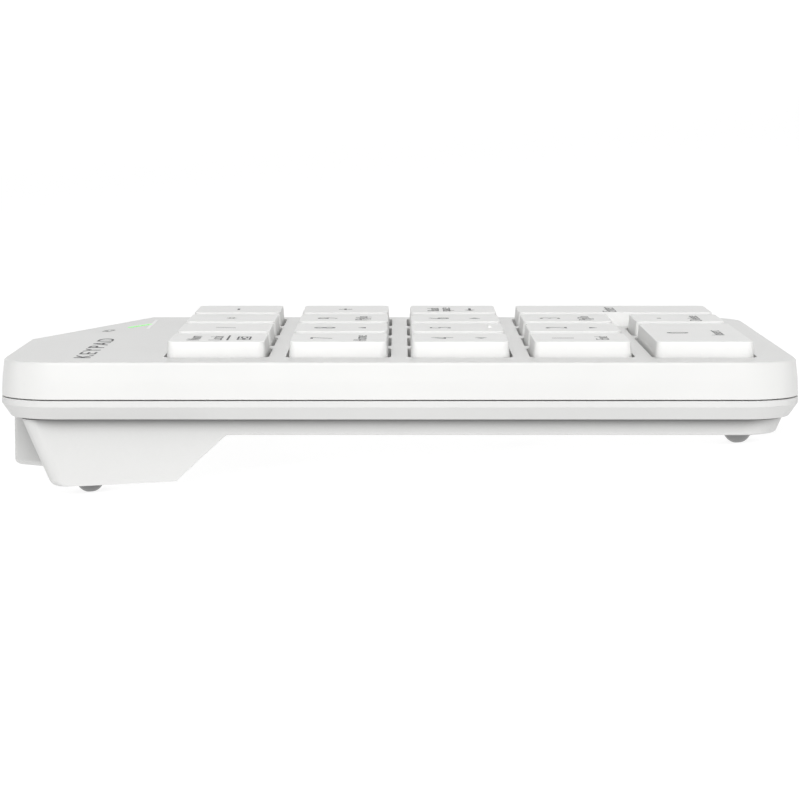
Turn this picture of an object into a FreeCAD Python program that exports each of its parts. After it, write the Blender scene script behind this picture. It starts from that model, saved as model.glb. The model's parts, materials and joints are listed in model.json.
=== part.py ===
import FreeCAD, Part
import math
import os
import Sketcher

# Numeric keypad: a low desk keypad with eighteen keys, standing on four dome feet.
# Everything is modelled in the case frame: X across the keys, +Y to the rear, Z normal to the deck,
# z = 0 on the parting plane of the two covers. Each sub-part's Placement then tilts the case on its feet.

os.makedirs("parts", exist_ok=True)
doc = FreeCAD.newDocument("numeric_keypad")

DIMENSIONS = {
    # case outline, at the parting plane
    "case_width": 85.1, "case_length": 124.0, "case_corner": 9.0, "case_offset_x": -1.3, "wall": 1.8,
    "floor": 1.5, "parting_low": 0.02, "parting_high": 0.2,
    # top cover
    "deck_level": 6.0, "deck_draft": 0.45, "deck_edge": 0.5, "deck_thickness": 1.5, "facet_slope": 17.6,
    "facet_end_slope": 26.7, "facet_knee_x": 2.9, "facet_knee_y": 58.6, "facet_angle": -19.8,
    "facet_end_angle": -22.2,
    # bottom cover
    "rim_height": 0.95, "rim_level": -2.98, "rim_floor": -1.6, "rim_chamfer": 1.4, "groove_height": 0.22,
    "groove_depth": 0.6, "belly_level": -5.6, "belly_round": 0.35, "belly_side_inset": 2.95,
    "belly_side_draft": 0.0, "belly_front_inset": 2.45, "belly_front_draft": 1.0,
    "belly_rear_inset": 3.3, "belly_rear_draft": 1.4,
    "riser_front_top": 26.8, "riser_front_low": 34.6, "riser_rear_low": 54.0, "riser_rear_top": 58.55,
    "riser_low_front_level": -12.8, "riser_low_rear_level": -13.76, "riser_round": 0.9,
    "riser_half_width": 39.6, "riser_corner": 2.6, "riser_ceiling": -4.0, "block_half_width": 20.7,
    "block_back": 62.05, "block_level": -12.75, "block_flare": 3.5, "block_flare_depth": 5.5,
    "block_front": 50.0, "block_round": 1.0, "block_wall": 1.6,
    # keys
    "pitch": 19.0, "rear_row": 28.6, "key_top": 15.0, "key_base": 15.4, "key_corner": 1.4,
    "key_level": 8.44, "key_edge": 0.12, "key_roof": 1.2, "skirt_level": 3.4, "key_wall": 1.2,
    "well_clearance": 0.5, "travel": 2.2, "stem_radius": 2.6, "stem_level": 0.7, "stem_root": 0.4,
    "barrel_clearance": 0.1, "barrel_wall": 1.0, "barrel_level": 4.3,
    # inner stack, from the bottom up
    "plate_level": -3.3, "plate_thickness": 0.5, "membrane_thickness": 0.3, "dome_radius": 4.4,
    "dome_skin": 0.45, "dome_rise": 1.9, "frame_level": -0.2, "frame_thickness": 1.0,
    "frame_width": 76.0, "frame_length": 97.0, "stack_width": 72.4, "stack_length": 95.0,
    "stack_corner": 5.5, "frame_rib": 1.2,
    # stabiliser wires
    "wire_radius": 0.45, "wire_clearance": 0.05, "wire_arm": 6.0, "wire_half_span": 11.0,
    "wire_foot": 1.9, "wire_axis_offset": 4.9, "wire_level": 3.0, "tab_thickness": 1.2, "tab_gap": 0.6,
    "tab_level": 3.2, "tab_width": 4.0, "tab_slot": 1.6, "tab_slack": 0.1, "clip_half_span": 7.0,
    "clip_width": 1.6, "clip_depth": 2.0, "clip_level": 3.8,
    # fasteners
    "boss_radius": 1.7, "boss_x": 19.0, "boss_top_inset": 0.8, "boss_pass": 0.2, "screw_radius": 0.95,
    "pilot_radius": 1.0, "hole_radius": 1.15, "head_radius": 1.9, "head_height": 1.2, "head_sink": 1.3,
    "head_clearance": 0.2, "screw_tip": 3.0, "post_radius": 2.6,
    # feet
    "foot_radius": 2.25, "foot_peg": 0.2, "foot_flat": 0.15, "foot_x": 35.2, "foot_front": -52.45,
    "foot_rear": 48.3, "foot_front_level": -5.07, "foot_rear_level": -12.78,
    "collar_radius": 2.9, "collar_thickness": 0.26, "label_width": 30.0,
    "label_length": 16.0, "label_thickness": 0.12,
    # electronics
    "board_width": 37.0, "board_front": 43.0, "board_rear": 60.2, "board_level": -10.9,
    "board_thickness": 1.0, "rest_radius": 1.5, "rest_x": 14.0, "rest_y": 46.0, "port_x": -9.3,
    "port_width": 8.94, "port_height": 3.2, "port_length": 7.35, "port_wall": 0.3,
    "port_clearance": 0.15, "port_back_wall": 1.0, "tongue_width": 6.7, "tongue_thickness": 0.7,
    "switch_x": 7.7, "switch_width": 8.6, "switch_depth": 3.6, "switch_height": 3.4, "knob_width": 2.6,
    "knob_height": 1.8, "knob_travel": 2.6, "knob_slack": 1.0, "chip_side": 5.0, "chip_height": 0.9,
    "connector_width": 8.0, "connector_depth": 3.0, "connector_height": 1.6, "tail_width": 6.0,
    "battery_width": 44.0, "battery_depth": 14.0, "battery_height": 4.0, "battery_level": -9.2,
    "lamp_x": 21.5, "lamp_y": 45.74, "lamp_angle": -26.0, "lamp_length": 7.9, "lamp_width": 0.65,
    "lamp_foot": 2.8, "lamp_clearance": 0.05, "lamp_board_length": 18.0, "lamp_board_depth": 6.0,
    "lamp_board_level": 0.9, "led_length": 5.0, "led_depth": 1.4, "led_height": 0.7,
}

# A length that passes right through any part it cuts.
THROUGH = "12"
BOARD_TOP = "(Dims.board_level + Dims.board_thickness)"
KNOB_LEVEL = f"({BOARD_TOP} + (Dims.switch_height - Dims.knob_height) / 2)"

sheet = doc.addObject("Spreadsheet::Sheet", "Dims")
for row, (alias, number) in enumerate(DIMENSIONS.items(), start=1):
    sheet.set(f"A{row}", alias)
    sheet.set(f"B{row}", str(number))
    sheet.setAlias(f"B{row}", alias)
doc.recompute()


def value(expression):
    """The number that a spreadsheet expression gives."""
    return float(sheet.evalExpression(expression))


def size(alias):
    return value(f"Dims.{alias}")


def vector(x=0.0, y=0.0, z=0.0):
    return FreeCAD.Vector(x, y, z)


def bind(item, bindings):
    """Bind properties of an object to spreadsheet expressions."""
    for name, expression in bindings.items():
        item.setExpression(name, expression)


# ---------------------------------------------------------------- keys on the grid

# name: (column of its left unit, row counted from the rear, units across, units deep)
KEYS = {
    "num_lock": (0, 0, 1, 1), "divide": (1, 0, 1, 1), "multiply": (2, 0, 1, 1), "subtract": (3, 0, 1, 1),
    "7": (0, 1, 1, 1), "8": (1, 1, 1, 1), "9": (2, 1, 1, 1), "add": (3, 1, 1, 1),
    "4": (0, 2, 1, 1), "5": (1, 2, 1, 1), "6": (2, 2, 1, 1), "backspace": (3, 2, 1, 1),
    "1": (0, 3, 1, 1), "2": (1, 3, 1, 1), "3": (2, 3, 1, 1), "enter": (3, 3, 1, 2),
    "0": (0, 4, 2, 1), "decimal": (2, 4, 1, 1),
}
STABILISED = {"enter": 0.0, "0": 90.0}


def key_centre(name):
    column, row, across, deep = KEYS[name]
    x = (column - 1.5 + (across - 1) / 2) * size("pitch")
    y = size("rear_row") - (row + (deep - 1) / 2) * size("pitch")
    return vector(x, y)


def boss_places():
    """Where four screws pass between the corners of the keys."""
    rows = (size("rear_row") - size("pitch") / 2, size("rear_row") - 2.5 * size("pitch"))
    return [vector(side * size("boss_x"), y) for y in rows for side in (-1, 1)]


# ---------------------------------------------------------------- sketch and solid helpers

def rounded_rectangle(sketch, width, length, radius):
    """A rectangle with round corners about the sketch's origin, sizes given as expressions."""
    half_x, half_y, arc = value(width) / 2, value(length) / 2, value(radius)
    corners = [(half_x - arc, half_y - arc, 0), (arc - half_x, half_y - arc, 1),
               (arc - half_x, arc - half_y, 2), (half_x - arc, arc - half_y, 3)]
    for x, y, quarter in corners:
        circle = Part.Circle(vector(x, y), vector(0, 0, 1), arc)
        sketch.addGeometry(Part.ArcOfCircle(circle, quarter * math.pi / 2, (quarter + 1) * math.pi / 2))
    sides = [((half_x - arc, half_y), (arc - half_x, half_y)),
             ((-half_x, half_y - arc), (-half_x, arc - half_y)),
             ((arc - half_x, -half_y), (half_x - arc, -half_y)),
             ((half_x, arc - half_y), (half_x, half_y - arc))]
    for start, end in sides:
        sketch.addGeometry(Part.LineSegment(vector(*start), vector(*end)))
    for corner in range(4):
        sketch.addConstraint(Sketcher.Constraint("Tangent", corner, 2, 4 + corner, 1))
        sketch.addConstraint(Sketcher.Constraint("Tangent", 4 + corner, 2, (corner + 1) % 4, 1))
    for corner in range(1, 4):
        sketch.addConstraint(Sketcher.Constraint("Equal", 0, corner))
    sketch.addConstraint(Sketcher.Constraint("Horizontal", 4))
    sketch.addConstraint(Sketcher.Constraint("Vertical", 5))
    sketch.addConstraint(Sketcher.Constraint("Symmetric", 0, 3, 2, 3, -1, 1))
    named = {"radius": (Sketcher.Constraint("Radius", 0, arc), radius),
             "width": (Sketcher.Constraint("DistanceX", 5, 1, 7, 1, 2 * half_x), width),
             "length": (Sketcher.Constraint("DistanceY", 6, 1, 4, 1, 2 * half_y), length)}
    for name, (constraint, expression) in named.items():
        index = sketch.addConstraint(constraint)
        sketch.renameConstraint(index, name)
        sketch.setExpression(f"Constraints.{name}", expression)


def outline(name, width, length, radius, level, x="0", y="0"):
    """A free rounded rectangle at a level of the case frame."""
    sketch = doc.addObject("Sketcher::SketchObject", name)
    rounded_rectangle(sketch, width, length, radius)
    bind(sketch, {"Placement.Base.x": x, "Placement.Base.y": y, "Placement.Base.z": level})
    return sketch


def case_outline(name, inset, level):
    """The case's plan outline, drawn in by an inset."""
    return outline(name, f"Dims.case_width - 2 * ({inset})", f"Dims.case_length - 2 * ({inset})",
                   f"max(Dims.case_corner - ({inset}); 1)", level, x="Dims.case_offset_x")


def loft(name, *sections):
    solid = doc.addObject("Part::Loft", name)
    solid.Sections = list(sections)
    solid.Solid = True
    solid.Ruled = True
    return solid


def extrusion(name, profile, length, direction=(0, 0, 1)):
    solid = doc.addObject("Part::Extrusion", name)
    solid.Base = profile
    solid.DirMode = "Custom"
    solid.Dir = vector(*direction)
    solid.Solid = True
    bind(solid, {"LengthFwd": length})
    return solid


def polygon(name, points, plane="XY"):
    """A closed sketch through points; plane YZ faces +X."""
    sketch = doc.addObject("Sketcher::SketchObject", name)
    corners = [vector(*point) for point in points]
    for start, end in zip(corners, corners[1:] + corners[:1]):
        sketch.addGeometry(Part.LineSegment(start, end))
    for side in range(len(corners)):
        sketch.addConstraint(Sketcher.Constraint("Coincident", side, 2, (side + 1) % len(corners), 1))
    if plane == "YZ":
        sketch.Placement.Rotation = FreeCAD.Rotation(vector(0, 1, 0), vector(0, 0, 1), vector(1, 0, 0), "ZXY")
    return sketch


def box(name, length, width, height, x, y, z):
    """A box from its sizes along X, Y, Z and its low corner, all as expressions."""
    solid = doc.addObject("Part::Box", name)
    bind(solid, {"Length": length, "Width": width, "Height": height,
                 "Placement.Base.x": x, "Placement.Base.y": y, "Placement.Base.z": z})
    return solid


def cylinder(name, radius, height, place, z):
    """An upright cylinder at a place of the case frame."""
    solid = doc.addObject("Part::Cylinder", name)
    solid.Placement.Base = place
    bind(solid, {"Radius": radius, "Height": height, "Placement.Base.z": z})
    return solid


def fuse(name, solids):
    result = doc.addObject("Part::MultiFuse", name)
    result.Shapes = list(solids)
    return result


def cut(name, base, *tools):
    """A base less its tools."""
    result = doc.addObject("Part::Cut", name)
    result.Base = base
    result.Tool = tools[0] if len(tools) == 1 else fuse(f"{name}_tools", tools)
    return result


def common(name, *solids):
    """What several solids share."""
    result = doc.addObject("Part::MultiCommon", name)
    result.Shapes = list(solids)
    return result


def round_edges(name, base, radius, chosen):
    """Fillet the edges of a base that a test picks."""
    doc.recompute()
    result = doc.addObject("Part::Fillet", name)
    result.Base = base
    edges = enumerate(base.Shape.Edges, start=1)
    result.Edges = [(index, size(radius), size(radius)) for index, edge in edges if chosen(edge)]
    return result


def lies_at(level):
    """A test for edges that lie level at a height."""
    def test(edge):
        return abs(edge.BoundBox.ZMin - level) < 1e-4 and abs(edge.BoundBox.ZMax - level) < 1e-4
    return test


# ---------------------------------------------------------------- finished sub-parts

nodes = {}


def finish(name, item, place=None, turn=0.0):
    """Name a sub-part; place and turn put a piece made about its own origin into the case frame."""
    item.Label = name
    nodes[name] = (item, FreeCAD.Placement(place or vector(), FreeCAD.Rotation(vector(0, 0, 1), turn)))
    return item


def finish_box(name, length, width, height, x, y, z, place=None, turn=0.0):
    """A sub-part that is one box, from its sizes and its low corner, all as expressions."""
    solid = doc.addObject("Part::Box", f"{name}_box")
    bind(solid, {"Length": length, "Width": width, "Height": height})
    solid.Label = name
    corner = FreeCAD.Placement(vector(value(x), value(y), value(z)), FreeCAD.Rotation())
    local = FreeCAD.Placement(place or vector(), FreeCAD.Rotation(vector(0, 0, 1), turn))
    nodes[name] = (solid, local * corner)


# ---------------------------------------------------------------- top cover

def facet_cutter(name, angle, slope, level):
    """Everything above a plane that falls away beyond a crease in the deck."""
    solid = doc.addObject("Part::Box", name)
    reach = size("case_length")
    bind(solid, {"Length": "2 * Dims.case_length", "Width": "Dims.case_length", "Height": "Dims.case_length"})
    crease = FreeCAD.Rotation(vector(0, 0, 1), size(angle)) * FreeCAD.Rotation(vector(1, 0, 0), -size(slope))
    knee = vector(size("facet_knee_x"), size("facet_knee_y"), level)
    solid.Placement = FreeCAD.Placement(knee + crease * vector(-reach, 0, 0), crease)
    return solid


def corner_facet(name, level):
    """The oblique fall of the deck towards its far rear corner."""
    return common(name, facet_cutter(f"{name}_main", "facet_angle", "facet_slope", level),
                  facet_cutter(f"{name}_end", "facet_end_angle", "facet_end_slope", level))


def key_well(name):
    """The opening in the deck around one key."""
    across, deep = KEYS[name][2:]
    centre = key_centre(name)
    profile = outline(f"well_outline_{name}",
                      f"Dims.key_base + {across - 1} * Dims.pitch + 2 * Dims.well_clearance",
                      f"Dims.key_base + {deep - 1} * Dims.pitch + 2 * Dims.well_clearance",
                      "Dims.key_corner + Dims.well_clearance", "Dims.skirt_level",
                      str(centre.x), str(centre.y))
    return extrusion(f"well_{name}", profile, "Dims.deck_level")


def lamp_slot(name, clearance, low, height):
    """The narrow oblique bar of the status lamp."""
    profile = outline(f"{name}_outline", f"Dims.lamp_length + 2 * {clearance}",
                      f"Dims.lamp_width + 2 * {clearance}", f"0.48 * Dims.lamp_width + {clearance}", low,
                      "Dims.lamp_x", "Dims.lamp_y")
    profile.Placement.Rotation = FreeCAD.Rotation(vector(0, 0, 1), size("lamp_angle"))
    return extrusion(name, profile, height)


def top_cover():
    shell = loft("top_shell", case_outline("top_parting", "0", "Dims.parting_high"),
                 case_outline("top_deck", "Dims.deck_draft", "Dims.deck_level"))
    shell = round_edges("top_rounded", shell, "deck_edge", lies_at(size("deck_level")))
    shell = cut("top_faceted", shell, corner_facet("facet", size("deck_level")))
    hollow = extrusion("top_hollow", case_outline("top_inner", "Dims.wall", "Dims.parting_high"),
                       "Dims.deck_level - Dims.deck_thickness - Dims.parting_high")
    inner_deck = size("deck_level") - size("deck_thickness") - 0.1
    hollow = cut("top_hollow_faceted", hollow, corner_facet("inner_facet", inner_deck))
    boss_height = "Dims.deck_level - Dims.boss_top_inset - Dims.plate_level"
    bosses = [cylinder("top_boss", "Dims.boss_radius", boss_height, place, "Dims.plate_level + 0.05")
              for place in boss_places()]
    pilots = [cylinder("top_pilot", "Dims.pilot_radius", "Dims.screw_tip + 0.3 - Dims.plate_level", place,
                       "Dims.plate_level") for place in boss_places()]
    wells = [key_well(name) for name in KEYS]
    slot = lamp_slot("lamp_window", "Dims.lamp_clearance", "Dims.deck_level - 3", THROUGH)
    cover = cut("top_emptied", shell, hollow, *wells, slot)
    return finish("top_cover", cut("top_bored", fuse("top_bossed", [cover] + bosses), *pilots))


# ---------------------------------------------------------------- bottom cover

GROOVE_LEVEL = "(Dims.rim_level - Dims.groove_height)"


def belly_outline(name, inward, share, level):
    """The belly's plan outline; its front and rear lean in more than its sides."""
    side, front, rear = (f"(Dims.belly_{face}_inset + {share} * Dims.belly_{face}_draft + {inward})"
                         for face in ("side", "front", "rear"))
    return outline(name, f"Dims.case_width - 2 * {side}", f"Dims.case_length - {front} - {rear}",
                   f"max(Dims.case_corner - {side}; 1)", level, "Dims.case_offset_x",
                   f"({front} - {rear}) / 2")


def riser_mass(name, thickness):
    """The rear riser, or the hollow a wall's thickness inside it, with round rear corners."""
    low_front, low_rear = size("riser_low_front_level"), size("riser_low_rear_level")
    top = size("riser_ceiling") if thickness else size("rim_level") - size("groove_height")
    front_top = (size("riser_front_top") + 1.9 * thickness, top)
    front_low = (size("riser_front_low") + 0.9 * thickness, low_front + thickness)
    rear_low = (size("riser_rear_low") - 1.1 * thickness, low_rear + thickness)
    rear_top = (size("riser_rear_top") - 1.2 * thickness, top)
    points = [front_low, rear_low, rear_top, front_top]
    if not thickness:
        points.append((front_top[0] - 0.3, size("belly_level") + 0.3))
    half = f"(Dims.riser_half_width - {thickness})"
    side = extrusion(f"{name}_side", polygon(f"{name}_profile", points, plane="YZ"), f"2 * {half}", (1, 0, 0))
    bind(side, {"Placement.Base.x": f"Dims.case_offset_x - {half}"})

    def rear_low_edge(edge):
        return abs(edge.BoundBox.YMin - rear_low[0]) < 1e-4 and edge.BoundBox.YLength < 1e-4

    side = round_edges(f"{name}_rounded", side, "riser_round", rear_low_edge)
    plans = [outline(f"{name}_plan", f"2 * {half}", half, f"Dims.riser_corner - {thickness}", str(level),
                     "Dims.case_offset_x", f"{rear} - {half} / 2") for rear, level in (rear_low, rear_top)]
    return common(name, side, loft(f"{name}_corners", *plans))


def block_plan(name, thickness, level):
    """Plan of the central rear block that holds the port and the power switch."""
    half, back, flare = size("block_half_width"), size("block_back"), size("block_flare")
    knee = back - size("block_flare_depth")
    right = [(half - thickness, back - thickness), (half + flare - thickness, knee - 0.6 * thickness),
             (half + 1.6 * flare - thickness, size("block_front"))]
    sketch = polygon(name, right + [(-x, y) for x, y in reversed(right)])
    sketch.Placement.Base = vector(size("case_offset_x"), 0, level)
    return sketch


def rear_block():
    solid = extrusion("block_raw", block_plan("block_outline", 0, size("block_level")),
                      f"{GROOVE_LEVEL} - Dims.block_level")
    return round_edges("block", solid, "block_round", lies_at(size("block_level")))


def bottom_cover():
    rim = loft("rim_band", case_outline("rim_lower", "0", "-Dims.rim_height"),
               case_outline("rim_upper", "0", "Dims.parting_low"))
    bevel = loft("rim_bevel", case_outline("bevel_lower", "Dims.rim_chamfer", "Dims.rim_level"),
                 case_outline("bevel_upper", "0", "-Dims.rim_height"))
    belly = loft("belly_raw", belly_outline("belly_lower", "0", 1, "Dims.belly_level"),
                 belly_outline("belly_upper", "0", 0, GROOVE_LEVEL))
    belly = round_edges("belly", belly, "belly_round", lies_at(size("belly_level")))
    neck = extrusion("belly_neck", belly_outline("neck_plan", "Dims.groove_depth", 0, GROOVE_LEVEL),
                     "Dims.groove_height")
    body = fuse("bottom_mass", [rim, bevel, neck, belly, riser_mass("riser", 0), rear_block()])

    inner = belly_outline("belly_inner", "Dims.floor", 0, "Dims.belly_level + Dims.floor")
    upper = extrusion("rim_hollow", case_outline("rim_inner", "Dims.wall", "Dims.rim_floor"), THROUGH)
    lower = extrusion("belly_hollow", inner, THROUGH)
    block_inner = block_plan("block_inner", size("block_wall"), size("block_level") + size("floor"))
    block_hollow = extrusion("block_hollow", block_inner,
                             "Dims.riser_ceiling - Dims.block_level")
    riser_hollow = riser_mass("riser_hollow", size("floor"))
    emptied = cut("bottom_emptied", body, upper, lower, riser_hollow, block_hollow)

    posts = [cylinder("bottom_post", "Dims.post_radius", "Dims.plate_level - Dims.belly_level - 0.6",
                      place, "Dims.belly_level + 0.6") for place in boss_places()]
    rest_places = [vector(size("case_offset_x") + side * size("rest_x"), size("rest_y"))
                   for side in (-1, 1)]
    rests = [cylinder("board_rest", "Dims.rest_radius", "Dims.board_level - Dims.block_level", place,
                      "Dims.block_level") for place in rest_places]
    solid = fuse("bottom_posted", [emptied] + posts + rests)

    holes = [cylinder("screw_hole", "Dims.hole_radius", THROUGH, place, "Dims.belly_level - 1")
             for place in boss_places()]
    sinks = [cylinder("head_sink", "Dims.head_radius + Dims.head_clearance", "Dims.head_sink + 1", place,
                      "Dims.belly_level - 1") for place in boss_places()]
    seats = [cylinder("foot_seat", "Dims.foot_radius", THROUGH, foot_place(end, side),
                      f"Dims.foot_{end}_level + Dims.foot_peg - {THROUGH}")
             for end in ("front", "rear") for side in (-1, 1)]
    port = port_sleeve("port_window", "Dims.port_clearance", "Dims.block_back - 3", THROUGH)
    slide = "(Dims.knob_width + Dims.knob_travel + Dims.knob_slack)"
    switch = box("switch_window", slide, THROUGH, "Dims.knob_height + 0.6", f"Dims.switch_x - {slide} / 2",
                 "Dims.block_back - 2.4", f"{KNOB_LEVEL} - 0.3")
    return finish("bottom_cover", cut("bottom_bored", solid, *holes, *sinks, *seats, port, switch))


# ---------------------------------------------------------------- keycaps

def body_sketch(body, name, level, width, length, radius):
    """A rounded rectangle on the body's own XY plane, lifted to a level."""
    plane = next(item for item in body.Origin.OriginFeatures if item.Role == "XY_Plane")
    sketch = body.newObject("Sketcher::SketchObject", name)
    sketch.AttachmentSupport = [(plane, "")]
    sketch.MapMode = "FlatFace"
    bind(sketch, {"AttachmentOffset.Base.z": level})
    if radius:
        rounded_rectangle(sketch, width, length, radius)
    return sketch


def body_pad(body, name, sketch, length, kind="PartDesign::Pad", reverse=False):
    feature = body.newObject(kind, name)
    feature.Profile = sketch
    feature.Reversed = reverse
    bind(feature, {"Length": length})
    sketch.Visibility = False
    return feature


def circle_sketch(body, name, level, radius):
    sketch = body_sketch(body, name, level, None, None, None)
    sketch.addGeometry(Part.Circle(vector(), vector(0, 0, 1), value(radius)))
    sketch.addConstraint(Sketcher.Constraint("Coincident", 0, 3, -1, 1))
    index = sketch.addConstraint(Sketcher.Constraint("Radius", 0, value(radius)))
    sketch.renameConstraint(index, "radius")
    bind(sketch, {"Constraints.radius": radius})
    return sketch


def keycap(name):
    """A drafted hollow cap with a round stem; the long caps also carry two slotted tabs."""
    across, deep = KEYS[name][2:]
    grow_x, grow_y = f"{across - 1} * Dims.pitch", f"{deep - 1} * Dims.pitch"
    base = (f"Dims.key_base + {grow_x}", f"Dims.key_base + {grow_y}", "Dims.key_corner")
    crown = (f"Dims.key_top + {grow_x}", f"Dims.key_top + {grow_y}", "Dims.key_corner - 0.2")
    inner = (f"Dims.key_top + {grow_x} - 2 * Dims.key_wall", f"Dims.key_top + {grow_y} - 2 * Dims.key_wall",
             "Dims.key_corner - 0.8")
    body = doc.addObject("PartDesign::Body", f"cap_{name}")
    skirt = body_sketch(body, "skirt", "Dims.skirt_level", *base)
    body_pad(body, "skirt_pad", skirt, "Dims.deck_level - Dims.skirt_level")
    taper = body.newObject("PartDesign::AdditiveLoft", "taper")
    taper.Profile = body_sketch(body, "taper_base", "Dims.deck_level", *base)
    taper.Sections = [body_sketch(body, "taper_top", "Dims.key_level", *crown)]
    taper.Ruled = True
    doc.recompute()
    rounding = body.newObject("PartDesign::Fillet", "top_edge")
    top = lies_at(size("key_level"))
    edges = enumerate(taper.Shape.Edges, start=1)
    rounding.Base = (taper, [f"Edge{index}" for index, edge in edges if top(edge)])
    bind(rounding, {"Radius": "Dims.key_edge"})
    body_pad(body, "hollow", body_sketch(body, "hollow_outline", "Dims.skirt_level", *inner),
             "Dims.key_level - Dims.key_roof - Dims.skirt_level", "PartDesign::Pocket", reverse=True)
    stem = circle_sketch(body, "stem_outline", "Dims.stem_level", "Dims.stem_radius")
    body_pad(body, "stem", stem, "Dims.key_level - Dims.key_roof + Dims.stem_root - Dims.stem_level")
    if name not in STABILISED:
        return finish(f"key_{name}", body, key_centre(name))
    return finish(f"key_{name}", tabbed_cap(name, body), key_centre(name))


def tabbed_cap(name, cap):
    """A cap with two tabs, each with a slot for one foot of the stabiliser wire."""
    tabs, slots = [], []
    for side in (-1, 1):
        middle = side * (size("wire_half_span") + size("tab_gap") + size("tab_thickness") / 2)
        reach = size("wire_arm") - size("wire_axis_offset")
        tab = box("tab", "Dims.tab_width", "Dims.tab_thickness",
                  "Dims.key_level - Dims.key_roof + Dims.stem_root - Dims.tab_level",
                  f"{reach} - Dims.tab_width / 2", f"{middle} - Dims.tab_thickness / 2", "Dims.tab_level")
        slot = box("tab_slot", "Dims.tab_slot", "3", "2 * (Dims.wire_radius + Dims.tab_slack)",
                   f"{reach - 0.05} - Dims.tab_slot / 2", f"{middle} - 1.5",
                   "Dims.wire_level + Dims.travel / 2 - Dims.wire_radius - Dims.tab_slack")
        tabs.append(tab)
        slots.append(slot)
    pair = cut(f"tabs_{name}", fuse(f"tab_pair_{name}", tabs), *slots)
    pair.Placement.Rotation = FreeCAD.Rotation(vector(0, 0, 1), STABILISED[name])
    return fuse(f"tabbed_{name}", [cap, pair])


# ---------------------------------------------------------------- rubber domes

def revolved(name, profile_points):
    """A body turned about its own Z axis from a closed profile of radius and height."""
    body = doc.addObject("PartDesign::Body", name)
    plane = next(item for item in body.Origin.OriginFeatures if item.Role == "XZ_Plane")
    sketch = body.newObject("Sketcher::SketchObject", "profile")
    sketch.AttachmentSupport = [(plane, "")]
    sketch.MapMode = "FlatFace"
    corners = [vector(*point) for point in profile_points]
    for start, end in zip(corners, corners[1:] + corners[:1]):
        sketch.addGeometry(Part.LineSegment(start, end))
    for side in range(len(corners)):
        sketch.addConstraint(Sketcher.Constraint("Coincident", side, 2, (side + 1) % len(corners), 1))
    turned = body.newObject("PartDesign::Revolution", "turned")
    turned.Profile = sketch
    turned.ReferenceAxis = (sketch, ["V_Axis"])
    turned.Angle = 360
    return body


def dome(name):
    """A thin rubber dome with a flange below and a solid plunger on top."""
    low = size("plate_level") + size("plate_thickness") + size("membrane_thickness")
    top, flange, plunger = size("stem_level"), size("dome_radius"), size("stem_radius") - 0.3
    skin, shoulder = size("dome_skin"), low + size("dome_rise")
    profile = [(flange, low), (flange, low + skin), (flange - skin, low + skin), (plunger, shoulder),
               (plunger, top), (0, top), (0, shoulder - skin), (plunger - skin, shoulder - skin),
               (flange - 2 * skin, low)]
    return finish(f"dome_{name}", revolved(f"dome_body_{name}", profile), key_centre(name))


# ---------------------------------------------------------------- key frame, membrane and plate

def stack_outline(name, width, length, level):
    middle = "Dims.rear_row - 2 * Dims.pitch"
    return outline(name, width, length, "Dims.stack_corner", level, "0", middle)


def wire_clips(name):
    """Two bored posts that hold a stabiliser wire's long bar."""
    turn = FreeCAD.Rotation(vector(0, 0, 1), STABILISED[name])
    posts, bores = [], []
    for side in (-1, 1):
        post = box("clip_post", "Dims.clip_depth", "Dims.clip_width", "Dims.clip_level - Dims.frame_level",
                   "-Dims.wire_axis_offset - Dims.clip_depth / 2",
                   f"{side} * Dims.clip_half_span - Dims.clip_width / 2", "Dims.frame_level")
        bore = doc.addObject("Part::Cylinder", "clip_bore")
        bind(bore, {"Radius": "Dims.wire_radius + Dims.wire_clearance", "Height": THROUGH})
        start = vector(-size("wire_axis_offset"), side * size("clip_half_span") + value(THROUGH) / 2,
                       size("wire_level"))
        bore.Placement = FreeCAD.Placement(start, FreeCAD.Rotation(vector(1, 0, 0), 90))
        posts.append(post)
        bores.append(bore)
    clips = cut(f"clips_{name}", fuse(f"clip_posts_{name}", posts), *bores)
    clips.Placement = FreeCAD.Placement(key_centre(name), turn)
    return clips


def boss_passes(name):
    """Holes that let the four screw bosses pass the inner stack."""
    return [cylinder(name, "Dims.boss_radius + Dims.boss_pass", THROUGH, place, "Dims.plate_level - 1")
            for place in boss_places()]


def key_frame():
    """A moulded plate with one guide barrel for each key."""
    plan = stack_outline("frame_outline", "Dims.frame_width", "Dims.frame_length", "Dims.frame_level")
    plate = extrusion("frame_plate", plan, "Dims.frame_thickness")
    low = "Dims.plate_level + Dims.plate_thickness + Dims.membrane_thickness"
    rib_outline = stack_outline("rib_outline", "Dims.stack_width", "Dims.stack_length", low)
    rib_outer = extrusion("rib_outer", rib_outline, f"Dims.frame_level - ({low})")
    rib_plan = stack_outline("rib_inner_outline", "Dims.stack_width - 2 * Dims.frame_rib",
                             "Dims.stack_length - 2 * Dims.frame_rib", low)
    rib_inner = extrusion("rib_inner", rib_plan, f"Dims.frame_level - ({low})")
    rib = cut("frame_rim", rib_outer, rib_inner)
    bore = "Dims.stem_radius + Dims.barrel_clearance"
    barrels = [cylinder("barrel", f"{bore} + Dims.barrel_wall", "Dims.barrel_level - Dims.frame_level",
                        key_centre(name), "Dims.frame_level") for name in KEYS]
    clips = [wire_clips(name) for name in STABILISED]
    mass = fuse("frame_mass", [plate, rib] + barrels + clips)
    bores = [cylinder("barrel_bore", bore, THROUGH, key_centre(name), "Dims.plate_level") for name in KEYS]
    return finish("key_frame", cut("frame_bored", mass, *bores, *boss_passes("frame_pass")))


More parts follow.
